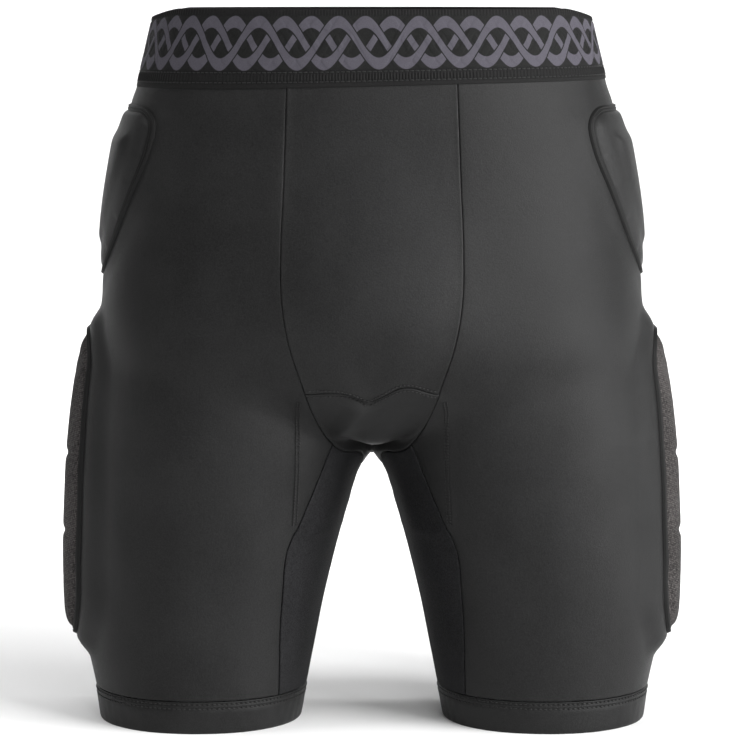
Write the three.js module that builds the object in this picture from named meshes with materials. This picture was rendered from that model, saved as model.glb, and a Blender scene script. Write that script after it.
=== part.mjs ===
// Padded impact shorts, in millimetres. +Z is up, the wearer faces -Y and the wearer's left leg is at +X.
// The shell is sewn from stretch panels that lie on one smooth body form. Every panel, foam block, cover,
// binding and stitch row is a thin closed solid made between two offsets of that form.
import * as THREE from 'three';

// ---- Driving sizes -----------------------------------------------------------------------------------
const TOTAL_HEIGHT = 433; // hem to the top edge of the waistband
const INSIDE_LEG = 168; // hem to the crotch
const HIP_WIDTH = 314; // across the hips, without the pads
const HIP_DEPTH = 243; // front to back over the seat
const WAISTBAND_HEIGHT = 43;
const HEM_HEIGHT = 20;

const FABRIC = 1.0; // panel thickness
const ELASTIC_HALF = 1.0; // half of the waistband's thickness
const HEM_THICKNESS = 1.8; // folded fabric
const LINER_THICKNESS = 0.8;
const COVER_THICKNESS = 0.9;
const BINDING_WIDTH = 4.2;
const BINDING_THICKNESS = 1.2;
const STITCH_THICKNESS = 0.5;

const SEAM_GAP = 0.6; // between panels that share a seam
const LAYER_GAP = 0.7; // between a panel and what lies on it
const COVER_GAP = 0.5; // between a foam block and its cover
const PARALLEL_GAP = 0.35; // between two rings with the same corners
const LINER_GAP = 1.5;

// Pads. Heights are measured from the seams that the real pads are set out from.
const HIP_PAD_DROP = 14; // below the waistband seam
const HIP_PAD_HEIGHT = 104;
const HIP_PAD_HALF = 61;
const HIP_PAD_FOAM = 5.5;
const HIP_PAD_PLACE = 2; // middle of the pad behind the side line
const PAD_SPACING = 32; // hip pad to thigh pad
const THIGH_PAD_RISE = 32; // above the hem seam
const THIGH_PAD_HALF = 47;
const THIGH_PAD_FOAM = 11;
const THIGH_PAD_PLACE = 20;
const THIGH_GROOVE = 3.5; // slot between the foam blocks
const TAIL_PAD_DROP = 52;
const TAIL_PAD_HEIGHT = 96;
const TAIL_PAD_HALF = 32;
const TAIL_PAD_FOAM = 7;
const SEAT_PAD_RISE = 42; // above the crotch
const SEAT_PAD_HEIGHT = 104;
const SEAT_PAD_HALF = 33;
const SEAT_PAD_FOAM = 7;
const SEAT_PAD_PLACE = 72; // from the centre back seam
const CUSHION_RIM = 8; // width of a pad's bevelled edge

// Seams.
const FRONT_SEAM_TOP = 54; // half width of the front panel at the waistband
const FRONT_SEAM_WIDE = 56;
const CROTCH_CORNER = 40; // half width of the front panel at its lower corners
const CROTCH_SEAM_RISE = 42; // crotch seam above the crotch
const CROTCH_SEAM_DIP = 3;
const GUSSET_HALF = 8; // half width under the crotch
const GUSSET_END = 6; // half width at the rear end
const MESH_CORNER = 24; // inner thigh panel's front edge, from the middle, at the gusset
const MESH_HEM = 56; // and at the hem
const BACK_SEAM_ANGLE = 150; // degrees round the leg from the front
const LINER_EDGE = 48;
const LINER_DEPTH = 50; // how far the liner runs below the crotch
const STITCH_ROW = 3.4;

const WAIST_SEAM = TOTAL_HEIGHT - WAISTBAND_HEIGHT;
const CROTCH_SEAM = INSIDE_LEG + CROTCH_SEAM_RISE;

// ---- Body form ---------------------------------------------------------------------------------------
// The form is drafted for one size of wearer and stretched to the sizes above.
const DRAFT = { height: 433, crotch: 168, width: 314, depth: 243 };
const MID = 4; // the legs' middle lies this far behind the wearer's middle
const CORNERS_LEG = 2.1; // exponent of the leg's section, 2 is an ellipse
const CORNERS_HIP = 2.25;

// A smooth curve through [height, value] pairs, level beyond its ends.
function profile(keys) {
  const count = keys.length;
  const slopes = [];
  for (let i = 0; i < count - 1; i++) {
    slopes.push((keys[i + 1][1] - keys[i][1]) / (keys[i + 1][0] - keys[i][0]));
  }
  const tangents = keys.map((key, i) => {
    if (i === 0) return slopes[0];
    if (i === count - 1) return slopes[count - 2];
    const before = keys[i][0] - keys[i - 1][0];
    const after = keys[i + 1][0] - keys[i][0];
    return (slopes[i - 1] * after + slopes[i] * before) / (before + after);
  });
  return (height) => {
    const z = THREE.MathUtils.clamp(height, keys[0][0], keys[count - 1][0]);
    let i = 0;
    while (i < count - 2 && z > keys[i + 1][0]) i++;
    const step = keys[i + 1][0] - keys[i][0];
    const t = (z - keys[i][0]) / step;
    const t2 = t * t;
    const t3 = t2 * t;
    return (2 * t3 - 3 * t2 + 1) * keys[i][1] + (t3 - 2 * t2 + t) * step * tangents[i] +
      (3 * t2 - 2 * t3) * keys[i + 1][1] + (t3 - t2) * step * tangents[i + 1];
  };
}

const legOuter = profile([[0, 167.5], [20, 170], [45, 175], [95, 176], [140, 174.5], [190, 170.5],
  [240, 163], [300, 152], [360, 140]]);
const legInner = profile([[0, 44], [45, 36], [95, 24.5], [131, 14.5], [156, 8], [175, 2], [210, -2],
  [300, 0]]);
const legFront = profile([[0, 64], [45, 71], [95, 79], [131, 85], [170, 91], [220, 94], [300, 84]]);
const legBack = profile([[0, 74], [45, 80], [95, 86], [131, 92], [170, 100], [220, 108], [300, 96]]);
const hipHalf = profile([[170, 1], [180, 48], [195, 86], [220, 124], [245, 148], [270, 157], [300, 156],
  [340, 151], [372, 145.5], [396, 140], [410, 136.5], [433, 131]]);
const hipFront = profile([[170, 1], [180, 44], [195, 72], [220, 93], [245, 102], [280, 105], [330, 105],
  [390, 101], [433, 98]]);
const hipBack = profile([[170, 1], [180, 52], [195, 84], [220, 107], [245, 117], [280, 121], [330, 115],
  [390, 100], [433, 94]]);
const blendWidth = profile([[150, 5], [180, 14], [205, 46], [300, 46]]);
const HIP_BOTTOM = 170; // lowest point of the hip form
const LEG_BLEND = 24; // rounds the crotch between the legs
const LEG_FADE_FROM = 225; // above here the legs die away inside the hips
const LEG_FADE = 0.0045;
const FRONT_BULGE = { centre: [0, -62, 256], size: [64, 48, 78] };
const SEAT_BULGE = { centre: [60, 50, 262], size: [80, 82, 92] };
const SEAT_BLEND = 60;

// About the distance from (x, y) to a rounded section of half sizes a and b.
function sectionDistance(x, y, a, b, power) {
  const u = Math.abs(x / a);
  const v = Math.abs(y / b);
  const size = (u ** power + v ** power) ** (1 / power) + 1e-9;
  const slope = Math.hypot(u ** (power - 1) / a, v ** (power - 1) / b) * size ** (1 - power);
  return (size - 1) / Math.max(slope, 0.9 / Math.max(a, b));
}

function ballDistance(x, y, z, { centre, size }, side = 1) {
  const u = (x - side * centre[0]) / size[0];
  const v = (y - centre[1]) / size[1];
  const w = (z - centre[2]) / size[2];
  const far = Math.hypot(u, v, w) + 1e-9;
  return far * (far - 1) / (Math.hypot(u / size[0], v / size[1], w / size[2]) + 1e-9);
}

function blend(a, b, width) {
  const share = Math.max(width - Math.abs(a - b), 0) / width;
  return Math.min(a, b) - share ** 3 * width / 6;
}

// Drafted height of a real height, and the wearer's width and depth as shares of the draft's.
function draftHeight(z) {
  if (z <= INSIDE_LEG) return z * DRAFT.crotch / INSIDE_LEG;
  return DRAFT.crotch + (z - INSIDE_LEG) * (DRAFT.height - DRAFT.crotch) / (TOTAL_HEIGHT - INSIDE_LEG);
}
const WIDER = HIP_WIDTH / DRAFT.width;
const DEEPER = HIP_DEPTH / DRAFT.depth;

// Negative inside the wearer, zero on the outer face of the fabric.
function form(realX, realY, realZ) {
  const x = Math.abs(realX) / WIDER;
  const y = realY / DEEPER;
  const z = draftHeight(realZ);
  const middle = (legOuter(z) + legInner(z)) / 2;
  const half = (legOuter(z) - legInner(z)) / 2;
  const legDepth = y < MID ? legFront(z) + MID : legBack(z) - MID;
  const near = sectionDistance(x - middle, y - MID, half, legDepth, CORNERS_LEG);
  const far = sectionDistance(-x - middle, y - MID, half, legDepth, CORNERS_LEG);
  const legs = blend(near, far, LEG_BLEND) + Math.max(0, z - LEG_FADE_FROM) ** 2 * LEG_FADE;
  const hips = sectionDistance(x, y, hipHalf(z), y < 0 ? hipFront(z) : hipBack(z), CORNERS_HIP) +
    Math.max(0, HIP_BOTTOM - z);
  const width = blendWidth(z);
  const front = blend(blend(legs, hips, width), ballDistance(x, y, z, FRONT_BULGE), width);
  const seat = blend(ballDistance(x, y, z, SEAT_BULGE), ballDistance(x, y, z, SEAT_BULGE, -1), SEAT_BLEND);
  return blend(front, seat, width);
}

// A profile of widths, drafted for one size of wearer and graded with the hip width.
const graded = (keys) => profile(keys.map(([place, width]) => [place, width * WIDER]));

const legMiddle = (z) => WIDER * (legOuter(draftHeight(z)) + legInner(draftHeight(z))) / 2;

function normalAt([x, y, z]) {
  const step = 0.5;
  const slope = [form(x + step, y, z) - form(x - step, y, z), form(x, y + step, z) - form(x, y - step, z),
    form(x, y, z + step) - form(x, y, z - step)];
  const length = Math.hypot(...slope);
  return slope.map((value) => value / length);
}

// The point where a ray from inside the wearer leaves the form, with the outward direction there.
function cast(from, direction, level = false) {
  let near = 0;
  let far = 1;
  const at = (t) => from.map((value, i) => value + direction[i] * t);
  while (form(...at(far)) < 0) far += 4;
  near = Math.max(far - 4, 0);
  for (let i = 0; i < 24; i++) {
    const middle = (near + far) / 2;
    if (form(...at(middle)) < 0) near = middle;
    else far = middle;
  }
  const point = at((near + far) / 2);
  let normal = normalAt(point);
  if (level) {
    const flat = Math.hypot(normal[0], normal[1]);
    normal = [normal[0] / flat, normal[1] / flat, 0];
  }
  return { point, normal };
}

const radians = THREE.MathUtils.degToRad;
const frontPoint = (x, z) => cast([x, 0, z], [0, -1, 0]);
const backPoint = (x, z) => cast([x, 0, z], [0, 1, 0]);
const sidePoint = (y, z) => cast([legMiddle(z), y, z], [1, 0, 0]);
// Round the wearer's left leg, from 0 degrees in front, by way of the outer side.
const legPoint = (angle, z, level) => cast([legMiddle(z), MID, z],
  [Math.sin(radians(angle)), -Math.cos(radians(angle)), 0], level);
// Round the waist, from 0 degrees in front.
const waistPoint = (angle, z) => cast([0, 0, z], [Math.sin(radians(angle)), -Math.cos(radians(angle)), 0],
  true);
// Under the crotch, from 0 degrees in front to 180 behind, at a distance x from the middle.
const UNDER_CENTRE = INSIDE_LEG + 67;
const underPoint = (angle, x) => cast([x, 0, UNDER_CENTRE],
  [0, -Math.cos(radians(angle)), -Math.sin(radians(angle))]);

// ---- Grids and closed solids -------------------------------------------------------------------------
const steps = (count) => Array.from({ length: count + 1 }, (_, i) => i / count);
const mix = (a, b, t) => a + (b - a) * t;

// Angle and height of a sample round the left leg.
function legChart({ point: [x, y, z] }) {
  const angle = THREE.MathUtils.radToDeg(Math.atan2(x - legMiddle(z), MID - y));
  return [angle, z];
}

// A grid between four edges of samples, filled in angle and height round the leg. Edges keep their samples.
function legPatch(left, right, top, bottom, turn = 0) {
  const chart = (edge) => edge.map((sample) => {
    const [angle, z] = legChart(sample);
    return [angle < turn - 180 ? angle + 360 : angle, z];
  });
  const [l, r, t, b] = [left, right, top, bottom].map(chart);
  const rows = left.length - 1;
  const cols = top.length - 1;
  return left.map((_, j) => top.map((__, i) => {
    if (i === 0) return left[j];
    if (i === cols) return right[j];
    if (j === 0) return top[i];
    if (j === rows) return bottom[i];
    const u = i / cols;
    const v = j / rows;
    const value = (k) => mix(l[j][k], r[j][k], u) + mix(t[i][k], b[i][k], v) -
      mix(mix(l[0][k], r[0][k], u), mix(l[rows][k], r[rows][k], u), v);
    return legPoint(value(0), value(1));
  }));
}

// Moves the open edges of a grid inwards, so that neighbours keep a gap along their seam.
function inset(grid, distance) {
  const rows = grid.length - 1;
  const cols = grid[0].length - 1;
  return grid.map((row, j) => row.map((sample, i) => {
    const inner = [Math.min(Math.max(j, 1), rows - 1), Math.min(Math.max(i, 1), cols - 1)];
    const point = new THREE.Vector3(...sample.point);
    for (const [to, moved] of [[[inner[0], i], inner[0] !== j], [[j, inner[1]], inner[1] !== i]]) {
      if (!moved) continue;
      const pull = new THREE.Vector3(...grid[to[0]][to[1]].point).sub(new THREE.Vector3(...sample.point));
      point.add(pull.setLength(distance));
    }
    return { point: point.toArray(), normal: sample.normal };
  }));
}

// A closed solid between two heights above a grid. The heights are numbers or functions of row and column.
function shell(grid, low, high, ring = false) {
  const rows = grid.length;
  const cols = grid[0].length;
  const span = ring ? cols : cols - 1;
  const positions = [];
  for (const level of [high, low]) {
    for (let j = 0; j < rows; j++) {
      for (let i = 0; i < cols; i++) {
        const { point, normal } = grid[j][i];
        const height = typeof level === 'function' ? level(j, i) : level;
        positions.push(...point.map((value, k) => value + normal[k] * height));
      }
    }
  }
  const id = (layer, j, i) => layer * rows * cols + j * cols + (i % cols);
  const faces = [];
  for (let j = 0; j < rows - 1; j++) {
    for (let i = 0; i < span; i++) {
      for (const [a, b, c] of [[[j, i], [j, i + 1], [j + 1, i + 1]], [[j, i], [j + 1, i + 1], [j + 1, i]]]) {
        faces.push([id(0, ...a), id(0, ...b), id(0, ...c)], [id(1, ...c), id(1, ...b), id(1, ...a)]);
      }
    }
  }
  const wall = (a, b) => faces.push([id(0, ...b), id(0, ...a), id(1, ...a)], [id(0, ...b), id(1, ...a),
    id(1, ...b)]);
  for (let i = 0; i < span; i++) {
    wall([0, i], [0, i + 1]);
    wall([rows - 1, i + 1], [rows - 1, i]);
  }
  for (let j = 0; j < rows - 1 && !ring; j++) {
    wall([j + 1, 0], [j, 0]);
    wall([j, cols - 1], [j + 1, cols - 1]);
  }
  return solid(positions, faces);
}

// Geometry whose faces point out, whichever way round the faces were listed.
function solid(positions, faces) {
  const corner = (i) => new THREE.Vector3().fromArray(positions, i * 3);
  const volume = faces.reduce((sum, [a, b, c]) => sum + corner(a).dot(corner(b).cross(corner(c))), 0);
  const outward = volume > 0 ? faces : faces.map(([a, b, c]) => [a, c, b]);
  const geometry = new THREE.BufferGeometry();
  geometry.setAttribute('position', new THREE.Float32BufferAttribute(positions, 3));
  geometry.setIndex(outward.flat());
  geometry.computeVertexNormals();
  return geometry;
}

function mirrored(geometry) {
  const positions = Array.from(geometry.getAttribute('position').array, (value, i) => (i % 3 ? value : -value));
  const index = Array.from(geometry.getIndex().array);
  const faces = [];
  for (let i = 0; i < index.length; i += 3) faces.push(index.slice(i, i + 3));
  return solid(positions, faces);
}

// ---- Materials ---------------------------------------------------------------------------------------
const finish = (color, roughness) => new THREE.MeshStandardMaterial({ color, roughness, metalness: 0 });
const SATIN = finish(0x3a3a3b, 0.45);
const ELASTIC = finish(0x1d1d1f, 0.8);
const KNIT = finish(0x34343a, 0.9);
const OPEN_MESH = finish(0x6e6766, 0.85);
const FOAM = finish(0x4a4a4c, 0.95);
const BINDING = finish(0x1b1b1c, 0.7);
const THREAD = finish(0x151516, 0.6);
const LABEL = finish(0xb9b9bb, 0.7);

const shorts = new THREE.Group();

function add(name, geometry, material) {
  const mesh = new THREE.Mesh(geometry, material);
  mesh.name = name;
  shorts.add(mesh);
}

function addPair(name, geometry, material) {
  add(`left_${name}`, geometry, material);
  add(`right_${name}`, mirrored(geometry), material);
}

// ---- Seams -------------------------------------------------------------------------------------------
const FRONT_ROWS = 8;
const FRONT_COLS = 8;
// The front seams run straight up from the hips and curve in to the corners of the crotch seam.
const frontSeamHalf = graded([[CROTCH_SEAM, CROTCH_CORNER], [CROTCH_SEAM + 14, 46.6],
  [CROTCH_SEAM + 40, 52.7], [CROTCH_SEAM + 86, FRONT_SEAM_WIDE], [WAIST_SEAM, FRONT_SEAM_TOP]]);
const corner = CROTCH_CORNER * WIDER;
const crotchSeamHeight = (x) => CROTCH_SEAM - CROTCH_SEAM_DIP * Math.cos(x / corner * Math.PI / 2);

const frontSeam = steps(FRONT_ROWS).map((t) => {
  const z = mix(WAIST_SEAM, CROTCH_SEAM, t);
  return frontPoint(frontSeamHalf(z), z);
});

// The gusset's left edge, from its front corner, under the crotch, to its end on the centre back seam.
const CORNER_ANGLE = THREE.MathUtils.radToDeg(Math.atan2(UNDER_CENTRE - CROTCH_SEAM,
  -frontSeam[FRONT_ROWS].point[1]));
const MESH_ANGLE = 38; // where the inner thigh panel's front edge leaves the gusset
const UNDER_ANGLE = 88; // where its rear edge does
const END_ANGLE = 146; // where the gusset ends
const gussetHalf = graded([[CORNER_ANGLE, CROTCH_CORNER], [MESH_ANGLE, MESH_CORNER], [58, 11],
  [UNDER_ANGLE, GUSSET_HALF], [120, GUSSET_HALF], [END_ANGLE, GUSSET_END]]);
const gussetEdge = (from, to, count) => steps(count).map((t) => {
  const angle = mix(from, to, t);
  return underPoint(angle, gussetHalf(angle));
});
const gussetFront = [frontSeam[FRONT_ROWS], ...gussetEdge(CORNER_ANGLE, MESH_ANGLE, 3).slice(1)];
const gussetUnder = gussetEdge(MESH_ANGLE, UNDER_ANGLE, 4);
const gussetRear = gussetEdge(UNDER_ANGLE, END_ANGLE, 5);
const last = (list) => list[list.length - 1];

// Edges of the inner thigh panel, down to the hem.
const HEM_SEAM = HEM_HEIGHT;
const MESH_ROWS = 8;
const meshTopZ = last(gussetFront).point[2];
const meshFrontX = graded([[HEM_SEAM, MESH_HEM], [0.48 * INSIDE_LEG, 53.5], [0.685 * INSIDE_LEG, 49],
  [0.738 * INSIDE_LEG, 45], [meshTopZ, MESH_CORNER]]);
const meshFront = [last(gussetFront), ...steps(MESH_ROWS).slice(1).map((t) => {
  const z = mix(meshTopZ, HEM_SEAM, t);
  return frontPointOnLeg(meshFrontX(z), z);
})];
const MESH_REAR_ANGLE = -80;
const meshRear = [last(gussetUnder), ...steps(MESH_ROWS).slice(1).map((t) => {
  const [angle, z] = legChart(last(gussetUnder));
  return legPoint(mix(angle, MESH_REAR_ANGLE, Math.min(1, t * 3)), mix(z, HEM_SEAM, t));
})];

// A sample on the front of the left leg, at a distance x from the middle.
function frontPointOnLeg(x, z) {
  return cast([x, MID, z], [0, -1, 0]);
}

// The seam behind the outer side, with its heights spread like the lengths along another edge.
function backSeam(edge, top, bottom) {
  const lengths = [0];
  for (let j = 1; j < edge.length; j++) {
    const [a, b] = [edge[j - 1], edge[j]].map(({ point }) => new THREE.Vector3(...point));
    lengths.push(lengths[j - 1] + a.distanceTo(b));
  }
  return lengths.map((length) => legPoint(BACK_SEAM_ANGLE, mix(top, bottom, length / last(lengths))));
}

const legEdge = (z, from, to, count) => steps(count).map((t) => legPoint(mix(from, to, t), z));

// ---- Panels ------------------------------------------------------------------------------------------
const panel = (grid) => shell(inset(grid, SEAM_GAP / 2), -FABRIC, 0);

function frontPanel() {
  const across = steps(FRONT_COLS).map((t) => 2 * t - 1);
  const mirror = ({ point: [x, y, z], normal: [a, b, c] }) => ({ point: [-x, y, z], normal: [-a, b, c] });
  return steps(FRONT_ROWS).map((t, j) => across.map((share, i) => {
    if (i === 0) return mirror(frontSeam[j]);
    if (i === FRONT_COLS) return frontSeam[j];
    const x = share * frontSeam[j].point[0];
    return frontPoint(x, mix(WAIST_SEAM, crotchSeamHeight(share * corner), t));
  }));
}

function gusset(front) {
  const edge = [...gussetFront, ...gussetUnder.slice(1), ...gussetRear.slice(1)];
  const across = steps(FRONT_COLS).map((t) => 2 * t - 1);
  return edge.map((sample, j) => across.map((share, i) => {
    if (j === 0) return front[FRONT_ROWS][i];
    const { point: [x, y, z], normal: [a, b, c] } = sample;
    if (i === 0) return { point: [-x, y, z], normal: [-a, b, c] };
    if (i === FRONT_COLS) return sample;
    const angle = THREE.MathUtils.radToDeg(Math.atan2(UNDER_CENTRE - z, -y));
    return underPoint(angle, share * x);
  }));
}

function legPanel() {
  const left = [...frontSeam, ...gussetFront.slice(1), ...meshFront.slice(1)];
  const right = backSeam(left, WAIST_SEAM, HEM_SEAM);
  const cols = 11;
  const top = legEdge(WAIST_SEAM, legChart(left[0])[0], BACK_SEAM_ANGLE, cols);
  const bottom = legEdge(HEM_SEAM, legChart(last(left))[0], BACK_SEAM_ANGLE, cols);
  return legPatch(left, right, top, bottom);
}

function meshPanel() {
  const bottom = legEdge(HEM_SEAM, legChart(last(meshFront))[0], MESH_REAR_ANGLE, gussetUnder.length - 1);
  return legPatch(meshFront, meshRear, gussetUnder, bottom);
}

function backPanel() {
  const seamRows = 7;
  const end = last(gussetRear);
  const endZ = end.point[2];
  const centre = steps(seamRows).map((t) => backPoint(0, mix(WAIST_SEAM, endZ, t)));
  const inner = [...centre, ...gussetRear.slice().reverse(), ...meshRear.slice(1)];
  const outer = backSeam(inner, WAIST_SEAM, HEM_SEAM);
  const cols = 8;
  const full = (angle) => (angle + 360) % 360;
  const top = legEdge(WAIST_SEAM, BACK_SEAM_ANGLE, full(legChart(centre[0])[0]), cols);
  const bottom = legEdge(HEM_SEAM, BACK_SEAM_ANGLE, full(MESH_REAR_ANGLE), cols);
  return legPatch(outer, inner, top, bottom, BACK_SEAM_ANGLE + 90);
}

function crotchLiner() {
  const bottomZ = INSIDE_LEG - LINER_DEPTH;
  const underZ = last(gussetUnder).point[2];
  const right = [...gussetFront, ...gussetUnder.slice(1), ...steps(2).slice(1).map((t) =>
    legPoint(MESH_REAR_ANGLE, mix(underZ, bottomZ, t)))];
  const rows = right.length - 1;
  const left = right.map((_, j) => frontPointOnLeg(LINER_EDGE * WIDER, mix(CROTCH_SEAM, bottomZ, j / rows)));
  const cols = 3;
  const top = steps(cols).map((t) => frontPointOnLeg(mix(LINER_EDGE, CROTCH_CORNER, t) * WIDER,
    CROTCH_SEAM));
  const bottom = legEdge(bottomZ, legChart(last(left))[0], MESH_REAR_ANGLE, cols);
  return legPatch(left, right, top, bottom);
}

const front = frontPanel();
add('front_panel', panel(front), SATIN);
add('crotch_gusset', panel(gusset(front)), SATIN);
addPair('leg_panel', panel(legPanel()), SATIN);
addPair('back_panel', panel(backPanel()), SATIN);
addPair('inner_thigh_mesh', panel(meshPanel()), KNIT);
const linerTop = -FABRIC - LINER_GAP;
addPair('crotch_liner', shell(inset(crotchLiner(), 2), linerTop - LINER_THICKNESS, linerTop), KNIT);

// Twin stitches over the crotch seam.
const crotchStitch = [-1, 1].map((side) => steps(10).map((t) => {
  const x = mix(-1, 1, t) * (corner - 3);
  return frontPoint(x, crotchSeamHeight(x) + side * STITCH_ROW / 2);
}));
add('crotch_coverstitch', shell(crotchStitch, LAYER_GAP / 2, LAYER_GAP / 2 + STITCH_THICKNESS), THREAD);

// ---- Waistband and hems ------------------------------------------------------------------------------
const ringAngles = (count) => steps(count).slice(0, -1).map((t) => t * 360);
const ring = (place, count, heights) => heights.map((z) => ringAngles(count).map((angle) => place(angle, z,
  true)));
const WAIST_SIDES = 44;
const HEM_SIDES = 28;
const bandBottom = WAIST_SEAM + SEAM_GAP / 2;
add('waistband', shell(ring(waistPoint, WAIST_SIDES, [bandBottom, TOTAL_HEIGHT]), -ELASTIC_HALF,
  ELASTIC_HALF, true), ELASTIC);
const bandStitch = ring(waistPoint, WAIST_SIDES, [bandBottom + 1, bandBottom + 1 + STITCH_ROW]);
const stitchLow = ELASTIC_HALF + PARALLEL_GAP;
add('waistband_coverstitch', shell(bandStitch, stitchLow, stitchLow + STITCH_THICKNESS, true), THREAD);

const hemTop = HEM_SEAM - SEAM_GAP / 2;
addPair('hem_band', shell(ring(legPoint, HEM_SIDES, [0, hemTop]), -HEM_THICKNESS, 0, true), SATIN);
const hemStitch = ring(legPoint, HEM_SIDES, [hemTop - 1 - STITCH_ROW, hemTop - 1]);
addPair('hem_coverstitch', shell(hemStitch, PARALLEL_GAP, PARALLEL_GAP + STITCH_THICKNESS, true), THREAD);

const LABEL_SIZE = { half: 18, height: 26 };
const labelGrid = steps(1).map((t) => steps(4).map((s) => {
  const { point } = backPoint(mix(-LABEL_SIZE.half, LABEL_SIZE.half, s), TOTAL_HEIGHT - WAISTBAND_HEIGHT / 2);
  return { point: [point[0], point[1], TOTAL_HEIGHT - 8 - t * LABEL_SIZE.height], normal: [0, 1, 0] };
}));
add('care_label', shell(labelGrid, -ELASTIC_HALF - 2.6, -ELASTIC_HALF - 2.2), LABEL);

// ---- Pads --------------------------------------------------------------------------------------------
// A pad's outline is a half width at each height. Its grid follows the outline at set distances from the
// edge, so that the bevel round the foam keeps its width.
function padGrid({ place, middle, half, low, high }, edges, rows, cols) {
  const widest = Math.max(...steps(20).map((t) => half(mix(low, high, t))));
  const inner = last(edges);
  const columns = [...edges.map((edge) => -(1 - edge / widest)),
    ...steps(cols).slice(1, -1).map((t) => mix(-1, 1, t) * (1 - inner / widest)),
    ...edges.slice().reverse().map((edge) => 1 - edge / widest)];
  const heights = [...edges.map((edge) => low + edge),
    ...steps(rows).slice(1, -1).map((t) => mix(low + inner, high - inner, t)),
    ...edges.slice().reverse().map((edge) => high - edge)];
  return heights.map((z) => columns.map((share) => place(middle(z) + share * half(z), z)));
}

// The loop of samples round a grid's edge.
function rim(grid) {
  const rows = grid.length - 1;
  const cols = grid[0].length - 1;
  return [...grid[0], ...grid.slice(1).map((row) => row[cols]), ...grid[rows].slice(0, -1).reverse(),
    ...grid.slice(1, rows).reverse().map((row) => row[0])];
}

// Height above the fabric at a grid place, from the number of steps to the nearest edge.
const stepsIn = (grid, j, i) => Math.min(j, grid.length - 1 - j, i, grid[0].length - 1 - i);

function padPieces(shape, foam, rows, cols) {
  const foot = BINDING_WIDTH + SEAM_GAP;
  const bevel = [foot + 2.5, foot + 2.5 + CUSHION_RIM];
  const coreGrid = padGrid(shape, bevel, rows, cols);
  const core = shell(coreGrid, LAYER_GAP, (j, i) => (stepsIn(coreGrid, j, i) ? foam : foam / 3) + LAYER_GAP);
  const coverGrid = (edge) => padGrid(shape, [edge, foot + 1.3, bevel[1]], rows, cols);
  const cover = padCover(coverGrid(foot), (grid, j, i) => [0, foam / 2.6, foam][Math.min(stepsIn(grid, j, i), 2)]);
  return { core, cover, binding: padBinding(coverGrid) };
}

// The cover's inner face clears the foam. Its edge lies on the fabric.
function padCover(grid, foamHeight) {
  const inside = (j, i) => {
    const foam = foamHeight(grid, j, i);
    return foam ? LAYER_GAP + COVER_GAP + foam : LAYER_GAP;
  };
  return shell(grid, inside, (j, i) => inside(j, i) + COVER_THICKNESS);
}

function padBinding(coverGrid) {
  const loops = [0, BINDING_WIDTH].map((edge) => rim(coverGrid(edge)));
  return shell(loops, LAYER_GAP, LAYER_GAP + BINDING_THICKNESS, true);
}

const hipPadHigh = WAIST_SEAM - HIP_PAD_DROP;
const hipPadLow = hipPadHigh - HIP_PAD_HEIGHT;
const hipPad = {
  place: sidePoint,
  low: hipPadLow,
  high: hipPadHigh,
  middle: () => HIP_PAD_PLACE,
  half: profile([[0, 0.16], [0.06, 0.3], [0.2, 0.5], [0.5, 0.83], [0.8, 1], [0.94, 0.97], [1, 0.84]]
    .map(([t, part]) => [mix(hipPadLow, hipPadHigh, t), part * HIP_PAD_HALF])),
};
const hipPieces = padPieces(hipPad, HIP_PAD_FOAM, 5, 5);
addPair('hip_pad_core', hipPieces.core, FOAM);
addPair('hip_pad_cover', hipPieces.cover, SATIN);
addPair('hip_pad_binding', hipPieces.binding, BINDING);

const tailHigh = WAIST_SEAM - TAIL_PAD_DROP;
const tailLow = tailHigh - TAIL_PAD_HEIGHT;
const tailPad = {
  place: backPoint,
  low: tailLow,
  high: tailHigh,
  middle: () => 0,
  half: profile([[0, 0.3], [0.1, 0.5], [0.5, 0.8], [0.85, 1], [1, 0.85]]
    .map(([t, part]) => [mix(tailLow, tailHigh, t), part * TAIL_PAD_HALF])),
};
const tailPieces = padPieces(tailPad, TAIL_PAD_FOAM, 5, 4);
add('tail_pad_core', tailPieces.core, FOAM);
add('tail_pad_cover', tailPieces.cover, SATIN);
add('tail_pad_binding', tailPieces.binding, BINDING);

const seatLow = INSIDE_LEG + SEAT_PAD_RISE;
const seatHigh = seatLow + SEAT_PAD_HEIGHT;
const seatPad = {
  place: backPoint,
  low: seatLow,
  high: seatHigh,
  middle: (z) => SEAT_PAD_PLACE + 6 * (z - seatLow) / SEAT_PAD_HEIGHT,
  half: profile([[0, 0.6], [0.12, 0.88], [0.5, 1], [0.88, 0.88], [1, 0.6]]
    .map(([t, part]) => [mix(seatLow, seatHigh, t), part * SEAT_PAD_HALF])),
};
const seatPieces = padPieces(seatPad, SEAT_PAD_FOAM, 5, 4);
addPair('seat_pad_core', seatPieces.core, FOAM);
addPair('seat_pad_cover', seatPieces.cover, SATIN);
addPair('seat_pad_binding', seatPieces.binding, BINDING);

// The thigh pad holds three foam blocks with slots between them, under one cover of open mesh.
const thighHigh = hipPadLow - PAD_SPACING;
const thighLow = HEM_SEAM + THIGH_PAD_RISE;
const thighPad = {
  place: sidePoint,
  low: thighLow,
  high: thighHigh,
  middle: () => THIGH_PAD_PLACE,
  half: profile([[0, 0.72], [0.07, 0.9], [0.25, 1], [0.75, 0.98], [0.93, 0.84], [1, 0.62]]
    .map(([t, part]) => [mix(thighLow, thighHigh, t), part * THIGH_PAD_HALF])),
};
const BLOCK_SHARES = [0, 0.335, 0.59, 1];
const BLOCK_NAMES = ['lower', 'middle', 'upper'];
const GROOVE_BEVEL = 3;
const FOAM_ROW = 26; // rows of points along a foam block are about this far apart
const thighFoot = BINDING_WIDTH + SEAM_GAP;
const thighBevel = [thighFoot + 2.5, thighFoot + 2.5 + CUSHION_RIM];

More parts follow.
